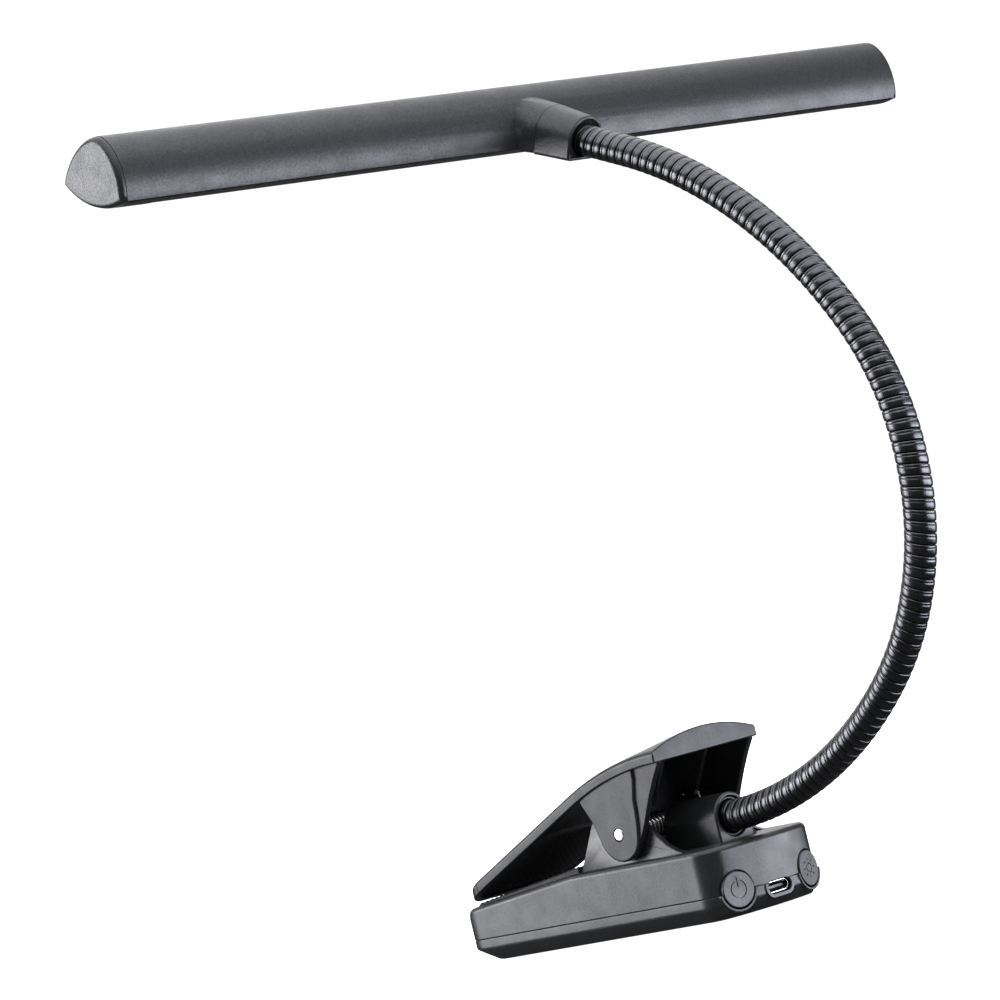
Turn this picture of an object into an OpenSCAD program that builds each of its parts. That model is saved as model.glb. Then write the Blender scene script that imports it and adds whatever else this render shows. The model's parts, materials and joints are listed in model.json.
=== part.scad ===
// Clip-on music stand light: a sprung clamp with its battery, a gooseneck and a long light bar.
// Origin at the middle of the clamp's flat underside, +Z up, +Y towards the buttons, +X along the bar.

/* [Clamp base] */
// Length of the base from the jaw tip to the crown of the rear face
base_len = 112; // [104:1:136]
// Width of the base where its two shells meet
base_w = 45.6; // [42:0.2:56]
// Height of the base above its flat underside
base_h = 20.8; // [19.8:0.2:25]
// Height of the split between the bottom and the top shell
split_h = 7; // [6.6:0.1:8]
// Radius of the bowed rear face
rear_bow_r = 63; // [50:1:90]
// Radius of the upright rear corners, seen from above
corner_r = 8; // [6:0.5:10]
// Radius of the upright corners at the jaw tip, seen from above
tip_corner_r = 10; // [8:0.5:12]
// Radius of the rounded jaw tip, seen from the side
tip_r = 7; // [5:0.5:7]
// Slope of the jaw's top face in degrees
ramp_a = 5.3; // [4:0.1:6]
// Wall thickness of the shells
wall = 2; // [1.6:0.1:2.4]

/* [Clamp lever] */
// Width of the lever
lever_w = 44; // [42:0.5:48]
// Height of the crown across the lever's straight part
lever_crown = 0.6; // [0.4:0.1:2]
// Height of the crown across the lever's thumb end
thumb_crown = 3.8; // [2:0.1:4.5]
// Thickness of the lever's cover
cover_t = 2.2; // [1.8:0.1:2.6]
// Depth of the rim along the lever's sides
rim_depth = 3.4; // [2.8:0.1:4]
// Radius of the curve at the lever's thumb end
lever_bend_r = 100; // [90:1:130]
// Gap between the two jaws at rest
jaw_gap = 0.3; // [0.2:0.05:0.6]
// Diameter of the pivot pin
pin_d = 4; // [3.2:0.1:5]
// Thickness of the two rubber pads
pad_t = 1.8; // [1.4:0.1:2.2]

/* [Torsion springs] */
// Diameter of the spring wire
wire_d = 1.1; // [0.9:0.05:1.3]
// Number of curls in each spring
spring_turns = 6; // [4:1:7]
// Clear space between one curl and the next
curl_gap = 0.46; // [0.42:0.02:0.6]

/* [Gooseneck] */
// Outer diameter of the gooseneck over its ribs
neck_d = 9; // [8:0.1:10.8]
// Distance from one rib to the next
rib_pitch = 3.08; // [2.8:0.02:3.6]
// Number of flexing points along the gooseneck
neck_joints = 10; // [10:1:10]
// Radius of the lowest bend
low_bend_r = 110.5; // [90:0.1:132]
// Turn of the lowest bend in degrees
low_bend_a = 41; // [35:1:46]
// Radius of the middle bend
mid_bend_r = 82; // [70:0.1:98]
// Turn of the middle bend in degrees
mid_bend_a = 76.8; // [65:0.1:84]
// Radius of the top bend
top_bend_r = 146.4; // [118:0.1:170]
// Turn of the top bend in degrees
top_bend_a = 37.2; // [31:0.1:44]

/* [Light head] */
// Length of the light bar over its end caps
head_len = 319; // [265:1:382]
// Width of the bar across its open side
head_w = 24.8; // [23:0.2:31]
// Height of the bar's arch above its lower edges
head_arch_h = 15.5; // [14:0.2:19]
// Depth of the bow of the lower cover
cover_bow = 3.9; // [3.4:0.1:4.4]
// Wall thickness of the bar
head_wall = 1.8; // [1.4:0.1:2.2]
// Thickness of each end cap
end_cap_t = 2; // [1.6:0.1:3]
// Width of the light window
window_w = 15; // [12:0.5:16]
// Number of light-emitting chips
led_count = 28; // [12:1:40]

/* [Controls] */
// Diameter of the gap ring round each button
button_ring_d = 10.9; // [9.4:0.1:11.2]
// Width of the gap round each button
button_gap = 0.35; // [0.25:0.05:0.5]
// Distance of each button from the middle of the rear face
button_x = 15; // [13.6:0.1:16.4]
// Width of the charging socket's mouth
socket_w = 8.94; // [8:0.02:9.4]
// Height of the charging socket's mouth
socket_h = 3.26; // [3:0.02:3.4]

/* [Hidden] */
$fn = 48;
eps = 0.01;
run_fit = 0.06;
neck_links = neck_joints - 1;

// Clamp base: places along Y and Z
tip_y = -base_len/2;
rear_y = base_len/2;
bow_y = rear_y - rear_bow_r;
tip_z = 9.6;
ramp_y0 = tip_y + tip_r*(1 - sin(ramp_a));
ramp_z0 = tip_z + tip_r*cos(ramp_a);
floor_t = 1.8;
chamfer_h = 4;
chamfer_in = 2.3;
tip_chamfer_in = 8;
function ramp_z(y) = min(base_h, ramp_z0 + (y - ramp_y0)*tan(ramp_a));
ramp_end_y = ramp_y0 + (base_h - ramp_z0)/tan(ramp_a);

// Pivot, springs and brackets
pin_y = rear_y - 37.4;
pin_z = base_h + 8.7;
pin_r = pin_d/2;
ear_r = 8;
bracket_x = 15.6;
bracket_t = 2;
coil_r = pin_r + 0.75 + wire_d/2;
coil_pitch = wire_d + curl_gap;
coil_x0 = 3;
coil_x1 = coil_x0 + spring_turns*coil_pitch;

// Lever: straight from its tip to the knee, then an arc to the thumb end
lever_tip_y = tip_y + 4.2;
knee_y = pin_y - 16.3;
knee_z = pin_z + 14;
lever_end_y = pin_y + 21.9;
pad_proud = 0.9;
pad_top_z = ramp_z(lever_tip_y) + pad_proud;
knee_run = knee_y - lever_tip_y;
slope_guess = atan((knee_z - pad_top_z - jaw_gap - rim_depth)/knee_run);
lever_tip_z = pad_top_z + jaw_gap + rim_depth/cos(slope_guess);
slope = atan((knee_z - lever_tip_z)/knee_run);
arc_y = knee_y + lever_bend_r*sin(slope);
arc_z = knee_z - lever_bend_r*cos(slope);
end_slope = asin((arc_y - lever_end_y)/lever_bend_r);
rim_t = 2;
function crown(x, height) = height*(1 - pow(2*x/lever_w, 2));
function crown_height(a) = lever_crown
    + (thumb_crown - lever_crown)*pow(max(0, (slope - a)/(slope - end_slope)), 2.2);
function slope_at(y) = y < knee_y ? slope : asin((arc_y - y)/lever_bend_r);
function cover_z(y, depth) = y < knee_y
    ? knee_z - (knee_y - y)*tan(slope) - depth/cos(slope)
    : arc_z + sqrt(pow(lever_bend_r - depth, 2) - pow(arc_y - y, 2));

// Gooseneck: its mouth in the boss and the straight and curved runs that follow
boss_end_y = rear_y - 11.5;
boss_start_y = pin_y + 4.4;
neck_r = neck_d/2;
neck_grip = 11.45;
neck_y = boss_end_y - neck_grip;
neck_z = base_h + 6.6;
neck_lead = neck_d;
neck_tail = 22.7;
neck_runs = [[neck_lead, 0],
    [low_bend_r*low_bend_a*PI/180, low_bend_r],
    [mid_bend_r*mid_bend_a*PI/180, mid_bend_r],
    [top_bend_r*top_bend_a*PI/180, top_bend_r],
    [neck_tail, 0]];
neck_len = neck_runs[0][0] + neck_runs[1][0] + neck_runs[2][0] + neck_runs[3][0] + neck_tail;
function run_step(p, l, r) = r == 0
    ? [p[0] + l*cos(p[2]), p[1] + l*sin(p[2]), p[2]]
    : let(a = p[2] + l/r*180/PI)
      [p[0] + r*(sin(a) - sin(p[2])), p[1] - r*(cos(a) - cos(p[2])), a];
function neck_at(s, p = [neck_y, neck_z, 0], i = 0) = i == 4 || s <= neck_runs[i][0]
    ? run_step(p, s, neck_runs[i][1])
    : neck_at(s - neck_runs[i][0], run_step(p, neck_runs[i][0], neck_runs[i][1]), i + 1);
neck_end = neck_at(neck_len);

// Flexing points: a ball on the lower link turns in a cup on the upper one
first_joint = 27;
last_joint = neck_len - 22.7;
joint_pitch = (last_joint - first_joint)/neck_links;
function joint_at(i) = first_joint + (i - 1)*joint_pitch;
cup_setback = 1;
link_gap = 2;
facet_sides = 8;
facet_ratio = cos(180/facet_sides);
crest_r = neck_r/sqrt(facet_ratio);
groove_r = crest_r - 0.45;
core_r = 0.711*neck_r;
sleeve_bore_r = (core_r + 0.12)/facet_ratio;
ball_r = core_r - 0.6;
cup_r = ball_r + 0.12;
wire_bore_r = 1.3;

// Ferrules that hold the gooseneck's ends
ferrule_t = 0.45;
ferrule_bore_r = crest_r + 0.05;
ferrule_r = ferrule_bore_r + ferrule_t;
ferrule_len = 7;
ferrule_back = 2;
ferrule_seat_r = ferrule_r + run_fit;
mouth_r = ferrule_r + 0.75;
mouth_depth = 2.5;
boss_r = mouth_r + 1.15;

// Inside of the base
board_z = 2.6;
board_t = 1.2;
board_y0 = rear_y - 24;
board_y1 = rear_y - 4.5;
board_side_y = rear_y - 6.8;
board_nose_w = 14;
board_w = 34;
rear_post_y = rear_y - 29;
front_post_y = tip_y + 13;
rear_post_x = base_w/2 - 6.3;
front_post_x = base_w/2 - 9;
post_r = 3;
screw_r = 1.25;
battery_len = 52;
battery_w = 26;
battery_h = 9;
battery_y1 = rear_post_y - post_r - 2;
foam_t = 0.8;

// Controls on the bowed rear face
button_z = 7.6;
button_yaw = asin(button_x/rear_bow_r);
button_y = bow_y + sqrt(rear_bow_r*rear_bow_r - button_x*button_x);
button_hole_r = button_ring_d/2 + button_gap/2;
button_r = button_hole_r - button_gap;
lip_r = button_hole_r + 0.8;
button_travel = 0.6;
button_back = wall + 1.4;
socket_z = board_z + board_t + socket_h/2;
slot_r = socket_h/2 + 0.3;
slot_w = socket_w + 0.6;
socket_front_y = rear_y - 0.9;
socket_len = 7.4;

// Light head: its own frame has its origin on the bar's middle, level with its lower edges
hub_reach = 29.9;
neck_seat = 7.6;
axis_rise = 5;
hub_seam = 17.1;
hub_r = 8.2;
hub_end_r = 7.2;
hub_root_w = 11.8;
hub_drop = 5.9;
hub_end_drop = 5.6;
hub_screw_y = hub_reach - neck_seat + 1.8;
hub_mouth_r = hub_end_r - 1.1;
hub_mouth_drop = hub_end_drop - 0.95;
half_w = head_w/2;
arch_power = 1.7;
cover_r = (half_w*half_w + cover_bow*cover_bow)/(2*cover_bow);
shell_len = head_len - 2*end_cap_t;
inner_len = shell_len - 4;
rail_z = 3.3;
led_board_t = 1.2;
led_board_w = 15;
led_t = 0.8;
led_margin = 14;
window_len = head_len - 30;
diffuser_t = 1.4;

// Helpers
function arc(c, r, a0, a1, n) =
    [for (i = [0:n]) let(a = a0 + (a1 - a0)*i/n) [c[0] + r*cos(a), c[1] + r*sin(a)]];
function mirrored(pts) = [for (i = [len(pts)-1:-1:0]) [-pts[i][0], pts[i][1]]];

// Draws a Y, Z outline and gives it thickness from x0 to x1
module slab(x0, x1) {
    translate([x0, 0, 0]) rotate([90, 0, 90]) linear_extrude(x1 - x0) children();
}

// Lays a cylinder's axis along Y, from y0 to y1
module along_y(r, y0, y1, z = 0) {
    translate([0, y0, z]) rotate([-90, 0, 0]) cylinder(r = r, h = y1 - y0);
}

module along_x(r, x0, x1) {
    translate([x0, 0, 0]) rotate([0, 90, 0]) cylinder(r = r, h = x1 - x0);
}

module both_sides() {
    children();
    mirror([1, 0, 0]) children();
}

// Triangles between rings of points that follow one another; closed joins the last to the first
function ring_faces(rings, sides, closed) = [
    for (k = [0:rings - (closed ? 1 : 2)]) for (j = [0:sides-1])
        let(a = k*sides + j, b = k*sides + (j + 1) % sides,
            c = ((k + 1) % rings)*sides + j, d = ((k + 1) % rings)*sides + (j + 1) % sides)
        each [[a, b, d], [a, d, c]]];
function end_fans(rings, sides) = [
    for (j = [1:sides-2]) each [[0, j + 1, j],
        [(rings-1)*sides, (rings-1)*sides + j, (rings-1)*sides + j + 1]]];

// Outline of the base seen from above, drawn in by the given inset, and by another at the tip
module base_plan(inset = 0, tip_inset = 0) {
    c = base_w/2 - corner_r;
    tip_c = base_w/2 - tip_corner_r;
    reach = rear_bow_r - corner_r;
    cy = bow_y + sqrt(reach*reach - c*c);
    turn = atan2(cy - bow_y, c);
    half = concat(
        arc([tip_c, tip_y + tip_inset + tip_corner_r], tip_corner_r - inset, -90, 0, 6),
        arc([c, cy], corner_r - inset, 0, turn, 6),
        arc([0, bow_y], rear_bow_r - inset, turn, 90, 6));
    polygon(concat(half, mirrored([for (i = [0:len(half)-2]) half[i]])));
}

// Side view of the base above the split, drawn in by the given inset
module base_side(inset = 0) {
    nose = arc([tip_y + tip_r, tip_z], tip_r - inset, 180, 90 + ramp_a, 6);
    top = base_h - inset;
    run_in = (top - (ramp_z0 - inset/cos(ramp_a)))/tan(ramp_a);
    polygon(concat([[tip_y + inset, split_h - eps]], nose,
        [[ramp_y0 + run_in, top], [rear_y + 1, top], [rear_y + 1, split_h - eps]]));
}

// Upright frame of a button on the rear face: its own +Y points straight out of the face
module at_button(side) {
    translate([side*button_x, button_y, button_z]) rotate([0, 0, -side*button_yaw]) children();
}

// Outline of the boss and the hub's collar: a round top and a flat bottom
module boss_outline(r, drop) {
    intersection() {
        circle(r = r);
        translate([-r, -drop]) square([2*r, r + drop]);
    }
    translate([-r, -drop]) square([2*r, drop]);
}

module slot_outline(w, h) {
    r = h/2;
    for (s = [-1, 1]) translate([s*(w/2 - r), 0]) circle(r = r);
    translate([r - w/2, -r]) square([w - 2*r, h]);
}

// Mouth of the charging socket cut through the rear wall
module socket_mouth() {
    translate([0, rear_y + 1, socket_z]) rotate([90, 0, 0])
        linear_extrude(wall + 4) slot_outline(slot_w, 2*slot_r);
}

module base_top_shell() {
    color([0.16, 0.16, 0.17]) difference() {
        union() {
            difference() {
                intersection() {
                    translate([0, 0, split_h]) linear_extrude(base_h) base_plan();
                    slab(-base_w, base_w) base_side();
                }
                intersection() {
                    translate([0, 0, split_h - 1]) linear_extrude(base_h) base_plan(wall);
                    slab(-base_w, base_w) base_side(wall);
                }
            }
            intersection() {
                screw_posts();
                slab(-base_w, base_w) base_side(wall/2);
            }
            boss_body();
            both_sides() bracket();
        }
        lower_pad_recess();
        along_y(ferrule_seat_r, neck_y - ferrule_back, boss_end_y + 1, neck_z);
        along_y(mouth_r, boss_end_y - mouth_depth, boss_end_y + 1, neck_z);
        wire_shaft();
        translate([0, neck_screw_y, split_h]) cylinder(r = screw_r, h = neck_z - split_h);
        both_sides() pilot_holes();
        translate([0, pin_y, pin_z]) along_x(pin_r + eps, -base_w, base_w);
        for (side = [-1, 1]) at_button(side) along_y(button_hole_r, -wall - 3, 3);
        socket_mouth();
    }
}

module screw_posts() {
    both_sides() {
        for (p = [[rear_post_x, rear_post_y], [front_post_x, front_post_y]])
            translate([p[0], p[1], split_h]) cylinder(r = post_r, h = base_h - split_h);
    }
}

module pilot_holes() {
    for (p = [[rear_post_x, rear_post_y], [front_post_x, front_post_y]])
        translate([p[0], p[1], split_h - 1]) cylinder(r = screw_r + 0.05, h = 7);
}

// Tunnel that carries the gooseneck's lower end
module boss_body() {
    translate([0, boss_end_y, neck_z]) rotate([90, 0, 0])
        linear_extrude(boss_end_y - boss_start_y) boss_outline(boss_r, neck_z - base_h + wall/2);
}

// Way down for the wire from the ferrule to the board
wire_r = 1.2;
wire_bend_r = 2.6;
wire_down_y = neck_y - ferrule_back - 2.4 - wire_bend_r/2;
shaft_r = wire_r + 0.5;
neck_screw_y = neck_y + 1.8;
module wire_shaft() {
    along_y(shaft_r, wire_down_y, neck_y, neck_z);
    translate([0, wire_down_y, split_h]) cylinder(r = shaft_r, h = neck_z + shaft_r - split_h);
}

// Ear on the base that holds the pin, inside the lever's ear
module bracket() {
    foot = base_h - wall/2;
    slab(bracket_x, bracket_x + bracket_t) polygon(concat(
        [[pin_y - 20.6, foot], [pin_y - 13.6, pin_z + 4.5], [pin_y - 6.6, pin_z + 6]],
        arc([pin_y, pin_z], 6, 80, 20, 4),
        [[pin_y + 9.2, pin_z + 0.2], [pin_y + 11.2, pin_z - 2.4], [pin_y + 14.3, pin_z - 5.5],
        [pin_y + 17.6, pin_z - 7.6], [pin_y + 21.3, pin_z - 8.7], [pin_y + 21.3, foot]]));
}

pad_half_w = base_w/2 - 4.3;
pad_y0 = tip_y + 6.6;
pad_y1 = min(ramp_end_y, pin_y - 22.6);
pad_rise = 1;
module lower_pad_side(up, down, rise = 0) {
    polygon([[pad_y0, ramp_z(pad_y0) - down], [pad_y1, ramp_z(pad_y1) - down],
        [pad_y1, ramp_z(pad_y1) + up + rise], [pad_y0, ramp_z(pad_y0) + up]]);
}

module lower_pad_recess() {
    slab(-pad_half_w, pad_half_w) lower_pad_side(3, pad_t - pad_proud);
}

module lower_jaw_pad() {
    color([0.08, 0.08, 0.08])
        slab(-pad_half_w, pad_half_w) lower_pad_side(pad_proud, pad_t - pad_proud, pad_rise);
}

module base_bottom_shell() {
    color([0.15, 0.15, 0.16]) difference() {
        union() {
            difference() {
                union() {
                    hull() {
                        linear_extrude(eps) base_plan(chamfer_in, tip_chamfer_in - chamfer_in);
                        translate([0, 0, chamfer_h - eps]) linear_extrude(eps) base_plan();
                    }
                    translate([0, 0, chamfer_h - eps])
                        linear_extrude(split_h - chamfer_h + eps) base_plan();
                    button_lips();
                    socket_lip();
                }
                translate([0, 0, floor_t]) linear_extrude(split_h) base_plan(wall + 0.6);
                translate([0, 0, chamfer_h]) linear_extrude(split_h) base_plan(wall);
            }
            both_sides() {
                for (p = [[rear_post_x, rear_post_y], [front_post_x, front_post_y]])
                    translate([p[0], p[1], floor_t - eps])
                        cylinder(r = post_r, h = split_h - floor_t + eps);
                translate([board_screw_x, board_screw_y, floor_t - eps])
                    cylinder(r = 2, h = board_z - floor_t + eps);
            }
        }
        for (side = [-1, 1]) at_button(side) along_y(button_hole_r, -wall - 3, 4);
        socket_mouth();
        both_sides() for (p = [[rear_post_x, rear_post_y], [front_post_x, front_post_y]])
            translate([p[0], p[1], 0]) {
                translate([0, 0, -1]) cylinder(r = screw_r + 0.15, h = split_h + 2);
                translate([0, 0, -1]) cylinder(r = screw_head_r + 0.15, h = 1 + screw_sink);
            }
        both_sides() translate([board_screw_x, board_screw_y, 0.9]) cylinder(r = 0.9, h = 3);
    }
}

// Half rings of the bottom shell that stand out round the lower part of each button
module button_lips() {
    for (side = [-1, 1]) intersection() {
        at_button(side) along_y(lip_r, -wall, 0.2);
        translate([-base_w, 0, 0.3]) cube([2*base_w, base_len, split_h - 0.3]);
    }
}

// Cup-shaped rim of the bottom shell round the charging socket
module socket_lip() {
    intersection() {
        translate([0, rear_y + 0.2, socket_z]) rotate([90, 0, 0])
            linear_extrude(wall) slot_outline(slot_w + 2.4, 2*slot_r + 2.4);
        translate([-base_w, 0, 0.3]) cube([2*base_w, base_len, split_h - 0.3]);
    }
}

module pivot_pin() {
    color([0.78, 0.78, 0.8]) translate([0, pin_y, pin_z])
        along_x(pin_r, -lever_w/2 + 0.8, lever_w/2 - 0.8);
}

// Path of one spring: a leg under the lever, the curls round the pin and a leg on the base
arc_dist = norm([arc_y - pin_y, arc_z - pin_z]);
leg_a = atan2(arc_z - pin_z, arc_y - pin_y) + acos(coil_r/arc_dist);
leg_crown = crown(coil_x1, crown_height(slope_at(pin_y - 1)));
leg_reach = lever_bend_r + leg_crown - cover_t - sqrt(arc_dist*arc_dist - coil_r*coil_r);
upper_leg = leg_reach - 0.2;
lower_leg = pin_z - base_h - 0.06;
curl_rings = 8;
wire_sides = 6;
curl_steps = spring_turns*curl_rings;
coil_turn = 360*spring_turns + leg_a;
function coil_point(k) = let(a = leg_a - coil_turn*k/curl_steps)
    [coil_x1 - (coil_x1 - coil_x0)*k/curl_steps, pin_y + coil_r*cos(a), pin_z + coil_r*sin(a)];
function leg_point(d) = coil_point(0) + d*[0, -sin(leg_a), cos(leg_a)];
spring_path = concat([leg_point(upper_leg), leg_point(upper_leg - wire_d)],
    [for (k = [0:curl_steps]) coil_point(k)],
    [coil_point(curl_steps) - [0, 0, lower_leg - wire_d], coil_point(curl_steps) - [0, 0, lower_leg]]);
function unit(v) = v/norm(v);
function path_way(p, k) = unit(p[min(k + 1, len(p) - 1)] - p[max(k - 1, 0)]);
function wire_ring(p, k) = let(t = path_way(p, k), e = unit([1, 0, 0] - t[0]*t), f = cross(t, e))
    [for (j = [0:wire_sides-1]) p[k] + wire_d/2*(cos(360*j/wire_sides)*e + sin(360*j/wire_sides)*f)];
function mid_points(p) = [for (k = [0:len(p)-2]) each [p[k], (p[k] + p[k + 1])/2]];
function least_gap(p) = min([for (i = [0:len(p)-1]) for (j = [i + curl_rings:len(p)-1])
    norm(p[i] - p[j])]) - wire_d;
echo(clamp_spring_least_gap_to_itself = least_gap(mid_points(spring_path)));

module clamp_spring() {
    color([0.72, 0.72, 0.74]) polyhedron(
        points = [for (k = [0:len(spring_path)-1]) each wire_ring(spring_path, k)],
        faces = concat(ring_faces(len(spring_path), wire_sides, false),
            end_fans(len(spring_path), wire_sides)));
}

module battery_cell() {
    color([0.55, 0.57, 0.6]) translate([-battery_w/2, battery_y1 - battery_len, floor_t + foam_t])
        cube([battery_w, battery_len, battery_h]);
}

module battery_foam() {
    color([0.2, 0.2, 0.2]) translate([-battery_w/2 + 3, battery_y1 - battery_len + 4, floor_t])
        cube([battery_w - 6, battery_len - 8, foam_t]);
}

board_screw_x = 12.5;
board_screw_y = board_y0 + 3;
module main_board() {
    color([0.05, 0.3, 0.14]) difference() {
        union() {
            translate([-board_w/2, board_y0, board_z])
                cube([board_w, board_side_y - board_y0, board_t]);
            translate([-board_nose_w/2, board_y0, board_z])
                cube([board_nose_w, board_y1 - board_y0, board_t]);
        }
        both_sides() translate([board_screw_x, board_screw_y, 0]) cylinder(r = 1, h = 10);
    }
}

module charging_socket() {
    color([0.75, 0.75, 0.77]) translate([0, socket_front_y, socket_z]) rotate([90, 0, 0])
        difference() {
            linear_extrude(socket_len) slot_outline(socket_w, socket_h);
            translate([0, 0, -1]) linear_extrude(socket_len) slot_outline(socket_w - 0.6, socket_h - 0.6);
        }
}

module socket_tongue() {
    color([0.1, 0.1, 0.1]) translate([-3.35, socket_front_y - socket_len + 1, socket_z - 0.35])
        cube([6.7, socket_len - 2, 0.7]);
}

// Upright switches on the board, one behind each button
switch_gap = button_travel + 0.15;
module button_switches() {
    color([0.12, 0.12, 0.12]) for (side = [-1, 1]) at_button(side)
        translate([-3, -button_back - switch_gap - 3.2, board_z + board_t - button_z])
            cube([6, 3.2, 6.2]);
}

module board_screws() {
    color([0.7, 0.7, 0.72]) both_sides() translate([board_screw_x, board_screw_y, 1.1]) {
        cylinder(r = 0.85, h = board_z + board_t - 1.1 + eps);
        translate([0, 0, board_z + board_t - 1.1]) cylinder(r = 1.7, h = 1);
    }
}

screw_head_r = 2.3;
screw_head_t = 1.4;
screw_sink = 1.7;
module base_screws() {
    color([0.7, 0.7, 0.72]) both_sides()
        for (p = [[rear_post_x, rear_post_y], [front_post_x, front_post_y]])
            translate([p[0], p[1], screw_sink]) difference() {
                union() {
                    translate([0, 0, -screw_head_t]) cylinder(r = screw_head_r, h = screw_head_t);
                    cylinder(r = screw_r, h = split_h + 4 - screw_sink);
                }
                translate([0, 0, -screw_head_t - eps]) cross_recess();
            }
}

module cross_recess() {
    for (a = [0, 90]) rotate([0, 0, a]) translate([-1.2, -0.25, 0]) cube([2.4, 0.5, 0.7]);
}

// Thin steel cup pressed on the gooseneck's end; its own +Y points along the gooseneck
module ferrule() {
    color([0.6, 0.6, 0.62]) difference() {
        along_y(ferrule_r, -ferrule_back, ferrule_len - ferrule_back);
        along_y(ferrule_bore_r, 0, ferrule_len);
        along_y(wire_r + 0.3, -ferrule_back - 1, 1);
    }
}

// Small screw whose point bears on a ferrule; its own +Z points at the ferrule
module grub_screw(shank) {
    color([0.7, 0.7, 0.72]) {
        translate([0, 0, -shank - 0.5]) cylinder(r = screw_r - run_fit, h = shank + 0.5);
        translate([0, 0, -shank - 1.2]) cylinder(r = 2.1, h = 1.2);
    }
}

module neck_lower_ferrule() {
    translate([0, neck_y, neck_z]) ferrule();
}

module neck_lower_screw() {
    translate([0, neck_screw_y, neck_z - ferrule_r - 0.05])
        grub_screw(neck_z - ferrule_r - 0.05 - (base_h - wall));
}

// Wire from the board up into the ferrule
module base_wire() {
    bend_y = wire_down_y + wire_bend_r;
    color([0.1, 0.1, 0.1]) {
        translate([0, wire_down_y, board_wire_z])
            cylinder(r = wire_r, h = neck_z - wire_bend_r - board_wire_z);
        translate([0, bend_y, neck_z - wire_bend_r]) rotate([90, 0, -90])
            rotate_extrude(angle = 90) translate([wire_bend_r, 0]) circle(r = wire_r);
        along_y(wire_r, bend_y, neck_y - 0.3, neck_z);
        translate([0, wire_down_y, board_wire_z]) sphere(r = wire_r);
        along_y(wire_r, wire_down_y, board_y0 + 1, board_wire_z);
        translate([-2.5, board_y0 + 1, board_z + board_t]) cube([5, 4, 4]);
    }
}
board_wire_z = board_z + board_t + 2;

function reversed(pts) = [for (i = [len(pts)-1:-1:0]) pts[i]];

// Cross section of the lever: height above the side edge's line, place across the width
cover_steps = 10;
function crown_line(depth, half, height) = [for (i = [0:cover_steps])
    let(x = half*(2*i/cover_steps - 1)) [crown(x, height) - depth, x]];
function outer_section(height) = concat(crown_line(0, lever_w/2, height),
    [[-rim_depth, lever_w/2], [-rim_depth, -lever_w/2]]);
function inner_section(height) = let(half = lever_w/2 - rim_t)
    concat(crown_line(cover_t, half, height), [[-rim_depth - 2, half], [-rim_depth - 2, -half]]);

// Places on the side edge's line: y, z and slope, from beyond the tip to the thumb end
bend_steps = 8;
lip_turn = 1.2;
function lever_line(last) = concat(
    [[lever_tip_y - 4, lever_tip_z - 4*tan(slope), slope]],
    [for (i = [0:bend_steps]) let(a = slope + (last - slope)*i/bend_steps)
        [arc_y - lever_bend_r*sin(a), arc_z + lever_bend_r*cos(a), a]]);
function lever_ring(p, section) = [for (q = reversed(section))
    [q[1], p[0] - q[0]*sin(p[2]), p[1] + q[0]*cos(p[2])]];
module lever_sweep(line, inner) {
    rings = [for (p = line) lever_ring(p, inner ? inner_section(crown_height(p[2]))
        : outer_section(crown_height(p[2])))];
    sides = len(rings[0]);
    polyhedron(points = [for (r = rings) each r],
        faces = concat(ring_faces(len(rings), sides, false), end_fans(len(rings), sides)));
}

// Sweeps a section straight from the knee towards the tip
module lever_straight(start, length) {
    translate([0, arc_y, arc_z]) rotate([slope, 0, 0]) rotate([90, 0, 0]) rotate([0, 0, 90])
        translate([lever_bend_r, 0, start]) linear_extrude(length) children();
}
straight_len = knee_run/cos(slope);

module lever_plan(inset) {
    corner = arc([lever_w/2 - corner_r, lever_tip_y + corner_r], corner_r - inset, -90, -6, 6);
    half = concat(corner, [[lever_w, corner[6][1]], [lever_w, rear_y + 20]]);
    polygon(concat(half, mirrored(half)));
}

module lever_cover() {
    color([0.17, 0.17, 0.18]) difference() {
        union() {
            difference() {
                intersection() {
                    lever_sweep(lever_line(end_slope), false);
                    linear_extrude(3*base_h) lever_plan(0);
                }
                intersection() {
                    lever_sweep(lever_line(end_slope + lip_turn), true);
                    linear_extrude(3*base_h) lever_plan(rim_t);
                }
            }
            both_sides() {
                lever_web();
                lever_panel();
                lever_rib();
            }
        }
        translate([0, pin_y, pin_z]) along_x(pin_r + run_fit, -lever_w, lever_w);
    }
}

// Side wall of the lever, from the cover down to the pin
web_in = lever_w/2 - 3.6;
web_out = lever_w/2 - 1.6;
ear_front = [[-9.4, 4.5], [-12.7, 10.8]];
web_rear = [[10.9, 2.1], [12.7, 5.2], [15.2, 9.3], [18.3, 13.8], [21.6, 18]];
function from_pin(pts) = [for (p = pts) [pin_y + p[0], pin_z + p[1]]];
function under_cover(y0, y1, depth, x = lever_w/2) =
    [for (i = [0:5]) let(y = y0 + (y1 - y0)*i/5)
        [y, cover_z(y, depth - crown(x, crown_height(slope_at(y))))]];
module lever_web() {
    slab(web_in, web_out) polygon(concat(
        arc([pin_y, pin_z], ear_r, 195, 335, 10),
        from_pin(web_rear),
        under_cover(lever_end_y - 0.2, pin_y - 12.7, 1),
        from_pin(reversed(ear_front))));
}

// Raised round-ended panel on the outside of the side wall
panel_rear = [[8.6, 1.8], [9.1, 5.6], [9.4, 9], [11.2, 14.8]];
module lever_panel() {
    slab(web_out - eps, lever_w/2 - 0.8) polygon(concat(
        arc([pin_y, pin_z], ear_r, 195, 335, 10),
        from_pin(panel_rear),
        under_cover(pin_y + 11.4, pin_y - 12.7, rim_depth - 0.2),
        from_pin(reversed(ear_front))));
}

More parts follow.
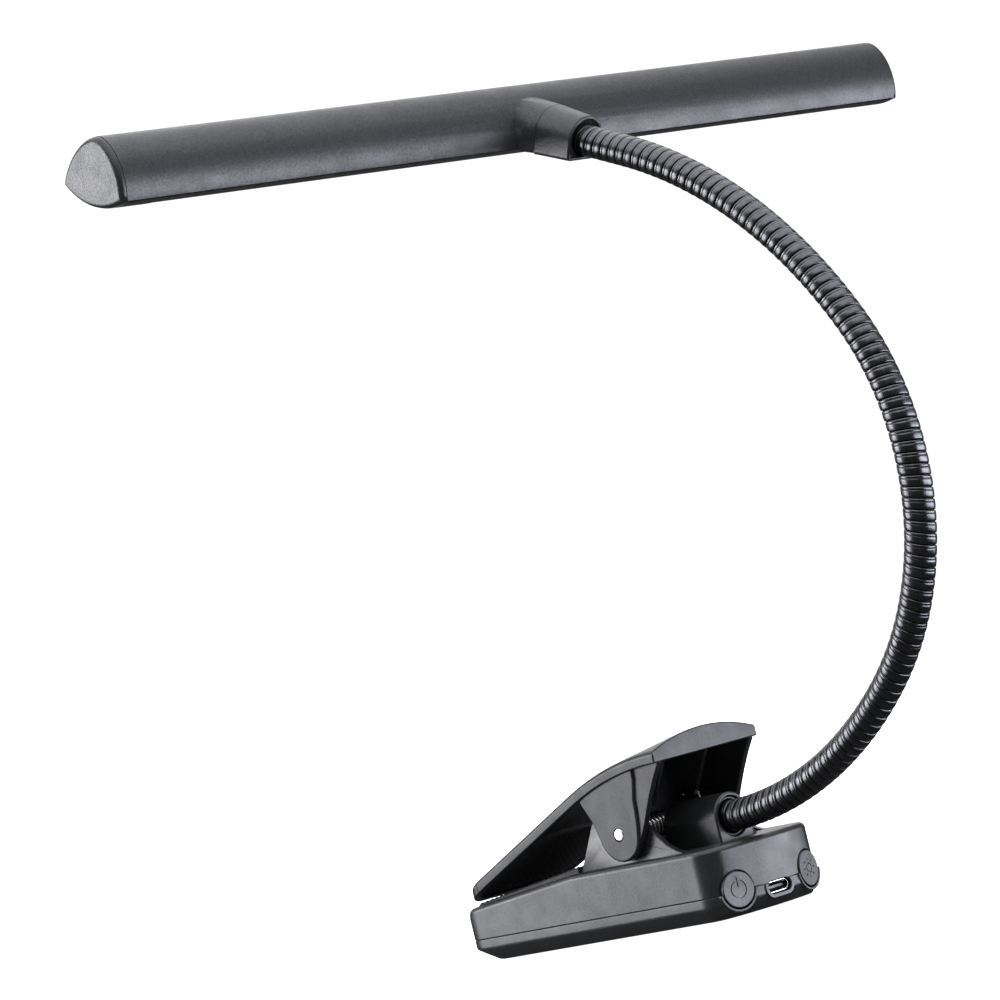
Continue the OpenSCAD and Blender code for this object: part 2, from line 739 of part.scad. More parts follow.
rib_x = 8.4;
module lever_rib() {
    slab(rib_x, rib_x + 1.4) polygon(concat(
        from_pin([[4.4, 5.5]]),
        under_cover(pin_y + 16.4, pin_y - 6, 1, rib_x)));
}

upper_pad_len = 34;
module upper_jaw_pad() {
    h = lever_w/2 - rim_t - 0.1;
    color([0.08, 0.08, 0.08]) intersection() {
        lever_straight(straight_len - upper_pad_len - rim_t, upper_pad_len) polygon(concat(
            crown_line(cover_t + 0.02, h, lever_crown), [[-rim_depth, h], [-rim_depth, -h]]));
        linear_extrude(3*base_h) lever_plan(rim_t + 0.1);
    }
}

// Cap of a button with the tab behind the wall that keeps it in, on its inner and upper side
module button_body(side) {
    tab = button_hole_r + 1;
    difference() {
        union() {
            along_y(button_r, -button_back, 0.3);
            translate([side > 0 ? -tab : -3, -button_back, -3.4]) cube([tab + 3, 0.9, tab + 3.4]);
        }
        children();
    }
}

mark_w = 0.35;
mark_deep = 0.3;
module mark_bar(length, out) {
    translate([-mark_w/2, 0.3 - mark_deep, out]) cube([mark_w, 1, length]);
}

module power_button() {
    color([0.2, 0.2, 0.21]) at_button(1) button_body(1) {
        translate([0, 0.3 - mark_deep, 0]) rotate([-90, 0, 0]) difference() {
            cylinder(r = 2.7, h = 1);
            translate([0, 0, -1]) cylinder(r = 2.7 - mark_w, h = 3);
            translate([-0.9, -4, -1]) cube([1.8, 4, 3]);
        }
        mark_bar(3, 0.6);
    }
}

module mode_button() {
    color([0.2, 0.2, 0.21]) at_button(-1) button_body(-1) {
        translate([0, 0.3 - mark_deep, 0]) rotate([-90, 0, 0]) difference() {
            cylinder(r = 1.5, h = 1);
            translate([0, 0, -1]) cylinder(r = 1.5 - mark_w, h = 3);
        }
        for (a = [0:45:315]) rotate([0, a, 0]) mark_bar(0.9, 2.1);
    }
}

// Points of one ring square to the gooseneck's line
function neck_ring(s, r) = let(p = neck_at(s)) [for (j = [0:facet_sides-1])
    let(a = 360*(j + 0.5)/facet_sides)
    [r*cos(a), p[0] - r*sin(a)*sin(p[2]), p[1] + r*sin(a)*cos(p[2])]];

function sleeve_start(i) = i == 0 ? 0 : joint_at(i) - cup_setback;
function sleeve_end(i) = i == neck_joints ? neck_len : joint_at(i + 1) - cup_setback - link_gap;

// One length of ribbed hose: a ring in each groove, a ring on each rib and the bore back again
module neck_sleeve(i) {
    s0 = sleeve_start(i);
    s1 = sleeve_end(i);
    ribs = round((s1 - s0)/rib_pitch);
    pitch = (s1 - s0)/ribs;
    rings = concat(
        [for (k = [0:ribs-1]) each [[s0 + k*pitch, groove_r], [s0 + (k + 0.5)*pitch, crest_r]]],
        [[s1, groove_r]],
        [for (k = [ribs:-1:0]) [s0 + k*pitch, sleeve_bore_r]]);
    color([0.1, 0.1, 0.11]) polyhedron(
        points = [for (q = rings) each neck_ring(q[0], q[1])],
        faces = ring_faces(len(rings), facet_sides, true));
}

// Places its children on the gooseneck's line, their own +Y along its heading a little further on
module on_neck(s, lead) {
    p = neck_at(s);
    translate([0, p[0], p[1]]) rotate([neck_at(s + lead)[2], 0, 0]) children();
}

module neck_ball() {
    difference() {
        union() {
            intersection() {
                rotate([-90, 0, 0]) sphere(r = ball_r);
                along_y(ball_r + 1, -ball_r, ball_r - 0.2);
            }
            along_y(1.7, -cup_setback - link_gap - 0.5, 0);
            along_y(core_r, -cup_setback - link_gap - 2.5, -cup_setback - link_gap);
        }
        along_y(wire_bore_r, -20, 20);
    }
}

module neck_cup() {
    difference() {
        along_y(core_r, -cup_setback, ball_r + 1.2);
        rotate([-90, 0, 0]) sphere(r = cup_r);
        along_y(wire_bore_r, -20, 20);
        along_y(sqrt(cup_r*cup_r - cup_setback*cup_setback), -cup_setback - 1, -cup_setback/2);
    }
}

module neck_core(i) {
    color([0.45, 0.45, 0.47]) {
        if (i > 0) on_neck(joint_at(i), 1.9) neck_cup();
        if (i < neck_joints) on_neck(joint_at(i + 1), -2.6) neck_ball();
    }
}

// The head's own frame: +Y back along the gooseneck, +Z to the top of the arch
module in_head() {
    translate([0, neck_end[0], neck_end[1]]) rotate([neck_end[2] - 180, 0, 0])
        translate([0, neck_seat - hub_reach, -axis_rise]) children();
}

arch_steps = 20;
function arch_pts(inset) = [for (i = [0:arch_steps]) let(a = 180*i/arch_steps,
    c = cos(a), s = sin(a), w = half_w - inset, h = head_arch_h - inset)
    [sign(c)*w*pow(abs(c), 2/arch_power), h*pow(s, 2/arch_power)]];
cover_turn = asin(half_w/cover_r);
function bow_pts(inset, half) = let(turn = asin(half/(cover_r - inset)))
    arc([0, cover_r - cover_bow], cover_r - inset, 270 - turn, 270 + turn, 12);

module head_shell() {
    color([0.13, 0.13, 0.14]) in_head() difference() {
        union() {
            slab(-shell_len/2, shell_len/2) polygon(arch_pts(0));
            translate([0, 0, axis_rise])
                hub_taper(6, hub_r, hub_drop, hub_seam, hub_r, hub_drop, hub_root_w/hub_r);
        }
        slab(-shell_len/2 - 1, shell_len/2 + 1) polygon(concat(arch_pts(head_wall),
            [[head_wall - half_w, -9], [half_w - head_wall, -9]]));
        along_y(wire_r + 1.4, half_w - 4, hub_seam + 1, axis_rise);
        translate([-half_w, 0, -hub_drop]) cube([2*half_w, half_w, hub_drop]);
    }
    color([0.13, 0.13, 0.14]) in_head() intersection() {
        both_sides() slab(20, inner_len/2 - 6)
            both_rails();
        slab(-shell_len/2, shell_len/2) polygon(arch_pts(head_wall/2));
    }
}

module both_rails() {
    for (s = [-1, 1]) translate([s*(half_w + led_board_w/2 - 2)/2, rail_z + 0.6])
        square([half_w - led_board_w/2 + 2, 1.2], center = true);
}

module head_lower_cover() {
    color([0.1, 0.1, 0.11]) in_head() difference() {
        slab(-shell_len/2, shell_len/2) difference() {
            polygon(bow_pts(0, half_w - 0.1));
            polygon(concat(bow_pts(1.5, half_w - head_wall - 1), [[half_w - head_wall - 1, 5],
                [head_wall + 1 - half_w, 5]]));
        }
        translate([-window_len/2, -window_w/2, -cover_bow - 1]) cube([window_len, window_w, 12]);
    }
}

module diffuser() {
    h = window_w/2 + 1.4;
    color([0.92, 0.92, 0.9]) in_head()
        slab(-window_len/2 - 1.4, window_len/2 + 1.4)
            polygon(concat(bow_pts(1.5 + 0.02, h), reversed(bow_pts(1.5 + diffuser_t, h))));
}

module led_board() {
    color([0.9, 0.9, 0.88]) in_head() translate([-inner_len/2 + 6, -led_board_w/2, rail_z - led_board_t])
        cube([inner_len - 12, led_board_w, led_board_t]);
}

module led_chips() {
    pitch = (window_len - 2*led_margin)/(led_count - 1);
    color([0.95, 0.9, 0.6]) in_head() for (i = [0:led_count-1])
        translate([-window_len/2 + led_margin + i*pitch - 1.75, -1.4, rail_z - led_board_t - led_t])
            cube([3.5, 2.8, led_t]);
}

module led_board_screws() {
    color([0.7, 0.7, 0.72]) in_head() both_sides() for (x = [30, inner_len/2 - 14])
        for (y = [-1, 1]) translate([x, y*(led_board_w/2 - 2.4), rail_z - led_board_t - 0.8])
            cylinder(r = 1.6, h = 0.8);
}

module end_cap() {
    in_head() {
        slab(shell_len/2, head_len/2) polygon(concat(arch_pts(0.15),
            [for (k = [1:11]) bow_pts(0.15, half_w - 0.15)[k]]));
        slab(shell_len/2 - 3, shell_len/2 + eps) difference() {
            polygon(arch_pts(head_wall + 0.1));
            polygon(arch_pts(head_wall + 1.6));
            translate([-half_w, -1]) square([2*half_w, 2]);
        }
    }
}

module end_cap_right() {
    color([0.15, 0.15, 0.16]) end_cap();
}

module end_cap_left() {
    mirror([1, 0, 0]) color([0.15, 0.15, 0.16]) end_cap();
}

// Tapers from one outline of the hub to the next, along Y; the first may be wider in X
module hub_taper(y0, r0, drop0, y1, r1, drop1, widen = 1) {
    hull() {
        for (p = [[y0 + eps, r0, drop0, widen], [y1, r1, drop1, 1]])
            translate([0, p[0], 0]) rotate([90, 0, 0])
                linear_extrude(eps) scale([p[3], 1]) boss_outline(p[1], p[2], $fn = 32);
    }
}

// Collar that carries the gooseneck's upper end
module hub_collar() {
    color([0.14, 0.14, 0.15]) in_head() translate([0, 0, axis_rise]) difference() {
        hub_taper(hub_seam + 0.06, hub_r, hub_drop, hub_reach, hub_end_r, hub_end_drop);
        along_y(ferrule_seat_r, hub_seam - 1, hub_reach - mouth_depth + eps);
        translate([0, hub_reach + 1, 0]) rotate([90, 0, 0])
            linear_extrude(mouth_depth + 1) boss_outline(hub_mouth_r, hub_mouth_drop);
        translate([0, hub_screw_y, 0]) rotate([0, -90, 0]) cylinder(r = screw_r, h = hub_r + 1);
    }
}

module neck_upper_ferrule() {
    in_head() translate([0, hub_reach - neck_seat, axis_rise]) ferrule();
}

module neck_upper_screw() {
    wall_r = hub_r + (hub_end_r - hub_r)*(hub_screw_y - hub_seam)/(hub_reach - hub_seam);
    color([0.7, 0.7, 0.72]) in_head() translate([-ferrule_r - 0.05, hub_screw_y, axis_rise])
        rotate([0, -90, 0]) cylinder(r = screw_r - run_fit, h = wall_r - 0.2 - ferrule_r);
}

// Wire from the ferrule to the light board
module head_wire() {
    top_y = hub_reach - neck_seat - 0.3;
    low_y = 7;
    rise = rail_z + 1.7 - axis_rise;
    color([0.1, 0.1, 0.1]) in_head() {
        translate([0, top_y, axis_rise]) rotate([90 - atan(rise/(top_y - low_y)), 0, 0])
            cylinder(r = wire_r, h = norm([top_y - low_y, rise]) + 1);
        translate([-2.5, low_y - 4.5, rail_z]) cube([5, 5, 3.4]);
    }
}

base_top_shell();
base_bottom_shell();
lower_jaw_pad();
pivot_pin();
clamp_spring();  // clamp_spring_right
mirror([1, 0, 0]) clamp_spring();  // clamp_spring_left
battery_cell();
battery_foam();
main_board();
charging_socket();
socket_tongue();
button_switches();
board_screws();
base_screws();
neck_lower_ferrule();
neck_lower_screw();
base_wire();
lever_cover();
upper_jaw_pad();
power_button();
mode_button();
for (i = [0:neck_joints]) neck_sleeve(i);
for (i = [0:neck_joints]) neck_core(i);
neck_upper_ferrule();
neck_upper_screw();
hub_collar();
head_shell();
head_lower_cover();
diffuser();
led_board();
led_chips();
led_board_screws();
end_cap_right();
end_cap_left();
head_wire();
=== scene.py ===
"""Clip-on music stand light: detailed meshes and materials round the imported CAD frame."""
import json
from math import acos, asin, atan, atan2, cos, hypot, pi, radians, sin, sqrt, tan

import bmesh
import bpy
from mathutils import Matrix, Vector


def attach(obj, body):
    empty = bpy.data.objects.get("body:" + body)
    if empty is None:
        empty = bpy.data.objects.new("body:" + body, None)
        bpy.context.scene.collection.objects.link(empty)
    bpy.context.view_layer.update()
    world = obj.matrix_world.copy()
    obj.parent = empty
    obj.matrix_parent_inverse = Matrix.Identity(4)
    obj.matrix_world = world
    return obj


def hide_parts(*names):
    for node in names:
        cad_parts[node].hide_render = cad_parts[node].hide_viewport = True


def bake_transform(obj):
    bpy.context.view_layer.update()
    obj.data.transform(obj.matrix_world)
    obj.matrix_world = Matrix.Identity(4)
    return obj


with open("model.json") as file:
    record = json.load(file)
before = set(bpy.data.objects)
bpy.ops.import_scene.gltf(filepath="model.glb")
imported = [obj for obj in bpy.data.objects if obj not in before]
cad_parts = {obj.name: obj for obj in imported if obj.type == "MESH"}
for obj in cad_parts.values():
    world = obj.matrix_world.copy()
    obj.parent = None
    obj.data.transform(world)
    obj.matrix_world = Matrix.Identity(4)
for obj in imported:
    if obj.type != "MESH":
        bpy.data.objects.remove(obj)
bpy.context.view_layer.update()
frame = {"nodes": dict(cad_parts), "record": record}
MM = 0.001

# ---------------------------------------------------------------- sizes, in mm, as in the CAD
BASE_LEN, BASE_W, BASE_H = 112.0, 45.6, 20.8
SPLIT_H, CHAMFER_H = 7.0, 4.0
BOW_R, CORNER_R, TIP_CORNER_R = 63.0, 8.0, 10.0
TIP_R, TIP_Z, RAMP_A = 7.0, 9.6, radians(5.3)
TIP_Y, REAR_Y = -BASE_LEN / 2, BASE_LEN / 2
BOW_Y = REAR_Y - BOW_R
PIN_Y, PIN_Z, PIN_R = REAR_Y - 37.4, BASE_H + 8.7, 2.0
BRACKET_IN_X, BRACKET_OUT_X, BRACKET_FOOT_Y = 15.6, 17.6, PIN_Y - 20.6
BOSS_START_Y, BOSS_END_Y = PIN_Y + 4.4, REAR_Y - 11.5
LEVER_W, RIM_DEPTH, RIM_T, COVER_T = 44.0, 3.4, 2.0, 2.2
EAR_FACE_X, WEB_OUT_X, WEB_IN_X = LEVER_W / 2 - 0.8, LEVER_W / 2 - 1.6, LEVER_W / 2 - 3.6
BEND_R, CROWN, THUMB_CROWN = 100.0, 0.6, 3.8
PAD_T, PAD_PROUD, PAD_RISE = 1.8, 0.9, 1.0
JAW_GAP = 0.3
WIRE_D, TURNS, CURL_GAP = 1.1, 6, 0.46
RIB_PITCH, JOINTS, END_RUN = 3.08, 10, 22.7
NECK_Y, NECK_Z = BOSS_END_Y - 11.45, BASE_H + 6.6
BUTTON_X, BUTTON_Z, BUTTON_R = 15.0, 7.6, 5.275
HEAD_LEN, HEAD_W, ARCH_H = 319.0, 24.8, 15.5
HUB_REACH, NECK_SEAT, AXIS_RISE, HUB_SEAM, HUB_DROP = 29.9, 7.6, 5.0, 17.1, 5.9

RAMP_Y0 = TIP_Y + TIP_R * (1 - sin(RAMP_A))
RAMP_Z0 = TIP_Z + TIP_R * cos(RAMP_A)


def ramp_z(y):
    return min(BASE_H, RAMP_Z0 + (y - RAMP_Y0) * tan(RAMP_A))


LEVER_TIP_Y = TIP_Y + 4.2
KNEE_Y, KNEE_Z = PIN_Y - 16.3, PIN_Z + 14
KNEE_RUN = KNEE_Y - LEVER_TIP_Y
PAD_TOP_Z = ramp_z(LEVER_TIP_Y) + PAD_PROUD
_guess = atan((KNEE_Z - PAD_TOP_Z - JAW_GAP - RIM_DEPTH) / KNEE_RUN)
SLOPE = atan((KNEE_Z - PAD_TOP_Z - JAW_GAP - RIM_DEPTH / cos(_guess)) / KNEE_RUN)
ARC_Y, ARC_Z = KNEE_Y + BEND_R * sin(SLOPE), KNEE_Z - BEND_R * cos(SLOPE)
LEVER_END_Y = PIN_Y + 21.9
END_SLOPE = asin((ARC_Y - LEVER_END_Y) / BEND_R)


# ---------------------------------------------------------------- the gooseneck's line
# Length of each run, and its bend radius or 0
NECK_RUNS = [(9.0, 0.0), (110.5 * radians(41), 110.5), (82 * radians(76.8), 82.0),
             (146.4 * radians(37.2), 146.4), (END_RUN, 0.0)]
NECK_LEN = sum(run[0] for run in NECK_RUNS)


def run_step(p, length, r):
    """Y, Z and heading after a run of this length from p, straight or with bend radius r."""
    if r == 0:
        return (p[0] + length * cos(p[2]), p[1] + length * sin(p[2]), p[2])
    a = p[2] + length / r
    return (p[0] + r * (sin(a) - sin(p[2])), p[1] - r * (cos(a) - cos(p[2])), a)


def neck_at(s):
    """Y, Z and heading of the gooseneck's line, s mm from its start in the boss."""
    p = (NECK_Y, NECK_Z, 0.0)
    for i, (length, r) in enumerate(NECK_RUNS):
        if s <= length or i == len(NECK_RUNS) - 1:
            return run_step(p, s, r)
        p = run_step(p, length, r)
        s -= length


FIRST_JOINT, LAST_JOINT = 27.0, NECK_LEN - END_RUN
JOINT_PITCH = (LAST_JOINT - FIRST_JOINT) / (JOINTS - 1)


def joint_at(i):
    return FIRST_JOINT + (i - 1) * JOINT_PITCH


NECK_END = neck_at(NECK_LEN)
HEAD_TILT = NECK_END[2] - pi
IN_HEAD = (Matrix.Translation((0, NECK_END[0], NECK_END[1])) @ Matrix.Rotation(HEAD_TILT, 4, "X")
           @ Matrix.Translation((0, NECK_SEAT - HUB_REACH, -AXIS_RISE)))
TO_HEAD = IN_HEAD.inverted()


# ---------------------------------------------------------------- materials
def nodes_of(owner):
    return owner.node_tree.nodes, owner.node_tree.links


def new_material(name, colour, roughness, metallic=0.0, **sockets):
    m = bpy.data.materials.new(name)
    m.use_nodes = True
    shader = m.node_tree.nodes["Principled BSDF"]
    shader.inputs["Base Color"].default_value = (*colour, 1)
    shader.inputs["Roughness"].default_value = roughness
    shader.inputs["Metallic"].default_value = metallic
    for key, value in sockets.items():
        shader.inputs[key.replace("_", " ")].default_value = value
    return m


def object_place(m):
    """Object coordinates, from one node that all textures of the material share."""
    nodes = m.node_tree.nodes
    node = nodes.get("Place") or nodes.new("ShaderNodeTexCoord")
    node.name = "Place"
    return node.outputs["Object"]


def noise(m, scale, detail=2.0, rough=0.5, stretch=None):
    nodes, links = nodes_of(m)
    n = nodes.new("ShaderNodeTexNoise")
    n.inputs["Scale"].default_value = scale
    n.inputs["Detail"].default_value = detail
    n.inputs["Roughness"].default_value = rough
    if stretch:
        mapping = nodes.new("ShaderNodeMapping")
        mapping.inputs["Scale"].default_value = stretch
        links.new(object_place(m), mapping.inputs["Vector"])
        links.new(mapping.outputs["Vector"], n.inputs["Vector"])
    else:
        links.new(object_place(m), n.inputs["Vector"])
    return n.outputs["Fac"]


def spread(m, fac, low, high, from_low=0.3, from_high=0.7):
    """Stretches the middle of a mask over low to high."""
    nodes, links = nodes_of(m)
    r = nodes.new("ShaderNodeMapRange")
    r.inputs["From Min"].default_value = from_low
    r.inputs["From Max"].default_value = from_high
    r.inputs["To Min"].default_value = low
    r.inputs["To Max"].default_value = high
    links.new(fac, r.inputs["Value"])
    return r.outputs["Result"]


def mixed(m, fac, a, b):
    """Blend of a and b, each a colour or a node's output. Inputs 6 and 7 are the node's colours."""
    nodes, links = nodes_of(m)
    n = nodes.new("ShaderNodeMix")
    n.data_type = "RGBA"
    links.new(fac, n.inputs[0])
    for socket, value in ((n.inputs[6], a), (n.inputs[7], b)):
        if isinstance(value, tuple):
            socket.default_value = (*value, 1)
        else:
            links.new(value, socket)
    return n.outputs[2]


def bump(m, fac, distance, strength=1.0):
    nodes, links = nodes_of(m)
    n = nodes.new("ShaderNodeBump")
    n.inputs["Distance"].default_value = distance
    n.inputs["Strength"].default_value = strength
    links.new(fac, n.inputs["Height"])
    return n.outputs["Normal"]


def feed(m, key, output):
    m.node_tree.links.new(output, m.node_tree.nodes["Principled BSDF"].inputs[key])


def edge_wear(m):
    """Mask that is high along worn outer edges."""
    nodes, links = nodes_of(m)
    g = nodes.new("ShaderNodeNewGeometry")
    worn = spread(m, g.outputs["Pointiness"], 0.0, 1.0, 0.53, 0.62)
    broken = spread(m, noise(m, 260, 3), 0.25, 1.0, 0.35, 0.65)
    n = nodes.new("ShaderNodeMath")
    n.operation = "MULTIPLY"
    links.new(worn, n.inputs[0])
    links.new(broken, n.inputs[1])
    return n.outputs[0]


def tinted(colour, share):
    return tuple(min(1, c * share) for c in colour)


MOTTLE, MOTTLE_TINT, WEAR_TINT, STREAK_DEPTH = 0.12, 1.9, 2.6, 0.000004


def moulded(name, colour, roughness, grain=0.00003, speckle=0.25, wear=0.35, shine=0.5):
    """Satin moulded plastic: spark-eroded grain, faint mottling and lighter rubbed edges."""
    m = new_material(name, colour, roughness, IOR=1.5)
    tone = mixed(m, spread(m, noise(m, 2400, 3, 0.6), 0, 1, 0.36, 0.64),
                 tinted(colour, 1 - speckle), tinted(colour, 1 + speckle))
    patch = mixed(m, spread(m, noise(m, 34, 2), 0, MOTTLE), tone, tinted(colour, MOTTLE_TINT))
    rubbed = mixed(m, spread(m, edge_wear(m), 0, wear, 0, 1), patch, tinted(colour, WEAR_TINT))
    feed(m, "Base Color", rubbed)
    feed(m, "Roughness", spread(m, noise(m, 150, 3), roughness - 0.04, roughness + 0.05))
    spark, swing = noise(m, 1500, 4, 0.7), shine * speckle * 0.8
    feed(m, "Specular IOR Level", spread(m, spark, shine - swing, shine + swing, 0.36, 0.64))
    feed(m, "Normal", bump(m, noise(m, 1700, 3, 0.6), grain))
    return m


def turned_steel(name, colour, roughness, stretch=(1, 1, 1), streak=900):
    """Metal with faint drawn or turned streaks."""
    m = new_material(name, colour, roughness, metallic=1.0)
    lines = noise(m, streak, 2, 0.5, stretch)
    feed(m, "Base Color", mixed(m, spread(m, lines, 0, 1), tinted(colour, 0.86),
                                tinted(colour, 1.06)))
    feed(m, "Roughness", spread(m, noise(m, 300, 3), roughness * 0.8, roughness * 1.3))
    feed(m, "Normal", bump(m, lines, STREAK_DEPTH))
    return m


MAT = {
    "shell": moulded("shell_plastic", (0.0105, 0.011, 0.0115), 0.36, speckle=0.16),
    "lever": moulded("lever_plastic", (0.0095, 0.010, 0.0105), 0.38, speckle=0.16, shine=0.38),
    "head": moulded("head_plastic", (0.0105, 0.0108, 0.0118), 0.38, grain=0.00006, speckle=0.3),
    "button": moulded("button_plastic", (0.013, 0.0135, 0.014), 0.36, grain=0.000012, shine=0.62),
    "pad_rubber": moulded("pad_rubber", (0.011, 0.011, 0.0115), 0.62, speckle=0.3, wear=0.15),
    "switch": moulded("switch_plastic", (0.012, 0.012, 0.012), 0.5),
    "socket_tongue": moulded("tongue_plastic", (0.012, 0.012, 0.013), 0.35),
    "wire": moulded("wire_jacket", (0.010, 0.010, 0.010), 0.45),
    "foam": moulded("cell_foam", (0.02, 0.02, 0.02), 0.9, grain=0.0002, speckle=0.5),
    "pin_steel": turned_steel("pin_steel", (0.86, 0.85, 0.83), 0.22, (8, 1, 1), 700),
    "spring_steel": turned_steel("spring_steel", (0.72, 0.70, 0.66), 0.24, (1, 6, 6), 1400),
    "screw_steel": turned_steel("screw_steel", (0.62, 0.62, 0.63), 0.28),
    "socket_shell": turned_steel("socket_shell", (0.83, 0.83, 0.84), 0.2, (1, 8, 1)),
    "inner_steel": turned_steel("inner_steel", (0.35, 0.35, 0.36), 0.4),
    "cell": turned_steel("cell_wrap", (0.42, 0.45, 0.52), 0.35, (1, 6, 1), 300),
}


def hose_material():
    """Black plated steel: glossy, with fine draw lines, and painted shade that turns the grooves
    near black.
    """
    m = new_material("hose_steel", (0.085, 0.086, 0.09), 0.2, metallic=1.0)
    lines = noise(m, 700, 3, 0.6)
    tone = mixed(m, spread(m, lines, 0, 1), (0.07, 0.07, 0.073), (0.105, 0.106, 0.112))
    # Painted shade: a vertex mask darkens the colour to near black in the grooves of the winding
    groove = m.node_tree.nodes.new("ShaderNodeAttribute")
    groove.attribute_name = "groove"
    feed(m, "Base Color", mixed(m, groove.outputs["Fac"], tone, (0.006, 0.006, 0.006)))
    feed(m, "Roughness", spread(m, noise(m, 90, 3), 0.25, 0.36))
    feed(m, "Normal", bump(m, noise(m, 1500, 2), 0.000006))
    return m


MAT["hose_steel"] = hose_material()


def board_material(name, base, trace, roughness):
    """Lacquered circuit board with faint copper runs under the lacquer."""
    m = new_material(name, base, roughness, Coat_Weight=0.4)
    nodes, links = nodes_of(m)
    brick = nodes.new("ShaderNodeTexBrick")
    brick.inputs["Scale"].default_value = 260
    brick.inputs["Mortar Size"].default_value = 0.05
    brick.inputs["Color1"].default_value = (*base, 1)
    brick.inputs["Color2"].default_value = (*tinted(base, 0.9), 1)
    brick.inputs["Mortar"].default_value = (*trace, 1)
    links.new(object_place(m), brick.inputs["Vector"])
    feed(m, "Base Color", brick.outputs["Color"])
    feed(m, "Roughness", spread(m, noise(m, 200), roughness - 0.06, roughness + 0.08))
    feed(m, "Normal", bump(m, brick.outputs["Fac"], 0.00003, 0.4))
    return m


MAT["board"] = board_material("main_board", (0.012, 0.075, 0.030), (0.03, 0.13, 0.06), 0.35)
MAT["led_board"] = board_material("led_board", (0.78, 0.78, 0.76), (0.62, 0.62, 0.58), 0.3)


def lens_material():
    """Milky diffuser: a little light passes into it, and fine ribs run along the bar."""
    m = new_material("lens_milky", (0.56, 0.57, 0.56), 0.32, Subsurface_Weight=0.35,
                     Subsurface_Scale=0.004)
    nodes, links = nodes_of(m)
    wave = nodes.new("ShaderNodeTexWave")
    wave.bands_direction = "Y"
    wave.inputs["Scale"].default_value = 240
    wave.inputs["Distortion"].default_value = 0.0
    links.new(object_place(m), wave.inputs["Vector"])
    feed(m, "Base Color", mixed(m, spread(m, noise(m, 60, 3), 0, 1), (0.54, 0.55, 0.54),
                                (0.60, 0.61, 0.60)))
    feed(m, "Roughness", spread(m, noise(m, 400), 0.27, 0.38))
    feed(m, "Normal", bump(m, wave.outputs["Fac"], 0.00006, 0.5))
    return m


MAT["lens"] = lens_material()


def led_material():
    """Yellow phosphor behind clear resin."""
    m = new_material("led_phosphor", (0.82, 0.62, 0.12), 0.25, Coat_Weight=0.8)
    feed(m, "Base Color", mixed(m, spread(m, noise(m, 3000, 2), 0, 1), (0.74, 0.52, 0.08),
                                (0.88, 0.72, 0.22)))
    feed(m, "Roughness", spread(m, noise(m, 900), 0.18, 0.34))
    feed(m, "Normal", bump(m, noise(m, 2600), 0.00001))
    return m


MAT["led"] = led_material()

SLOT_OF = {row["node"]: row["material_slot"] for row in frame["record"]["subparts"]}
for cad_name, cad_object in frame["nodes"].items():
    if not cad_object.material_slots:
        cad_object.data.materials.append(None)
    for slot in cad_object.material_slots:
        slot.material = MAT[SLOT_OF[cad_name]]


# ---------------------------------------------------------------- mesh helpers
def add_object(name, bm, material):
    me = bpy.data.meshes.new(name)
    bmesh.ops.recalc_face_normals(bm, faces=bm.faces)
    bm.to_mesh(me)
    bm.free()
    obj = bpy.data.objects.new(name, me)
    bpy.context.scene.collection.objects.link(obj)
    me.materials.append(material)
    return obj


def apply_modifiers(obj):
    bpy.context.view_layer.update()
    graph = bpy.context.evaluated_depsgraph_get()
    me = bpy.data.meshes.new_from_object(obj.evaluated_get(graph), preserve_all_data_layers=True,
                                         depsgraph=graph)
    obj.modifiers.clear()
    old, obj.data = obj.data, me
    bpy.data.meshes.remove(old)


def shade(obj, sharp=35.0, weighted=True):
    for poly in obj.data.polygons:
        poly.use_smooth = True
    obj.data.set_sharp_from_angle(angle=radians(sharp))
    if weighted:
        obj.modifiers.new("soft_corners", "WEIGHTED_NORMAL").keep_sharp = True
        apply_modifiers(obj)


def place(obj, body, slot, *replaced):
    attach(obj, body)
    if replaced:
        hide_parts(*replaced)


def cad_copy(node):
    """The node's mesh with its doubled points merged and its flat faces whole again."""
    bm = bmesh.new()
    bm.from_mesh(frame["nodes"][node].data)
    bmesh.ops.remove_doubles(bm, verts=bm.verts, dist=3e-6)
    bmesh.ops.dissolve_degenerate(bm, edges=bm.edges, dist=2e-6)
    bmesh.ops.dissolve_limit(bm, angle_limit=radians(1.0), verts=bm.verts, edges=bm.edges)
    return bm


ROUND_FROM = radians(24.0)


def rounded(name, node, body, rule, segments, sharp=35.0, adjust=None):
    """A copy of a CAD node with its outer edges rounded.

    rule(x, y, z, edge) gives an edge's radius in mm from its middle's place, or 0 for a sharp edge.
    """
    bm = cad_copy(node)
    if adjust:
        adjust(bm)
    weight = bm.edges.layers.float.new("bevel_weight_edge")
    picked = []
    for e in bm.edges:
        if len(e.link_faces) != 2 or e.calc_face_angle_signed(0) < ROUND_FROM:
            continue
        mid = (e.verts[0].co + e.verts[1].co) / 2 / MM
        r = rule(mid.x, mid.y, mid.z, e)
        if r:
            picked.append((e, r))
    widest = max((r for e, r in picked), default=1.0)
    for e, r in picked:
        e[weight] = r / widest
    obj = add_object(name, bm, MAT[SLOT_OF[node]])
    if picked:
        b = obj.modifiers.new("edges", "BEVEL")
        b.limit_method = "WEIGHT"
        b.width = widest * MM
        b.segments = segments
        b.use_clamp_overlap = False
        apply_modifiers(obj)
    shade(obj, sharp)
    place(obj, body, SLOT_OF[node], node)


def near(a, b, by=0.05):
    return abs(a - b) < by


def faces_up(edge):
    """Z of the normal of the edge's face that looks up most."""
    return max(f.normal.z for f in edge.link_faces)


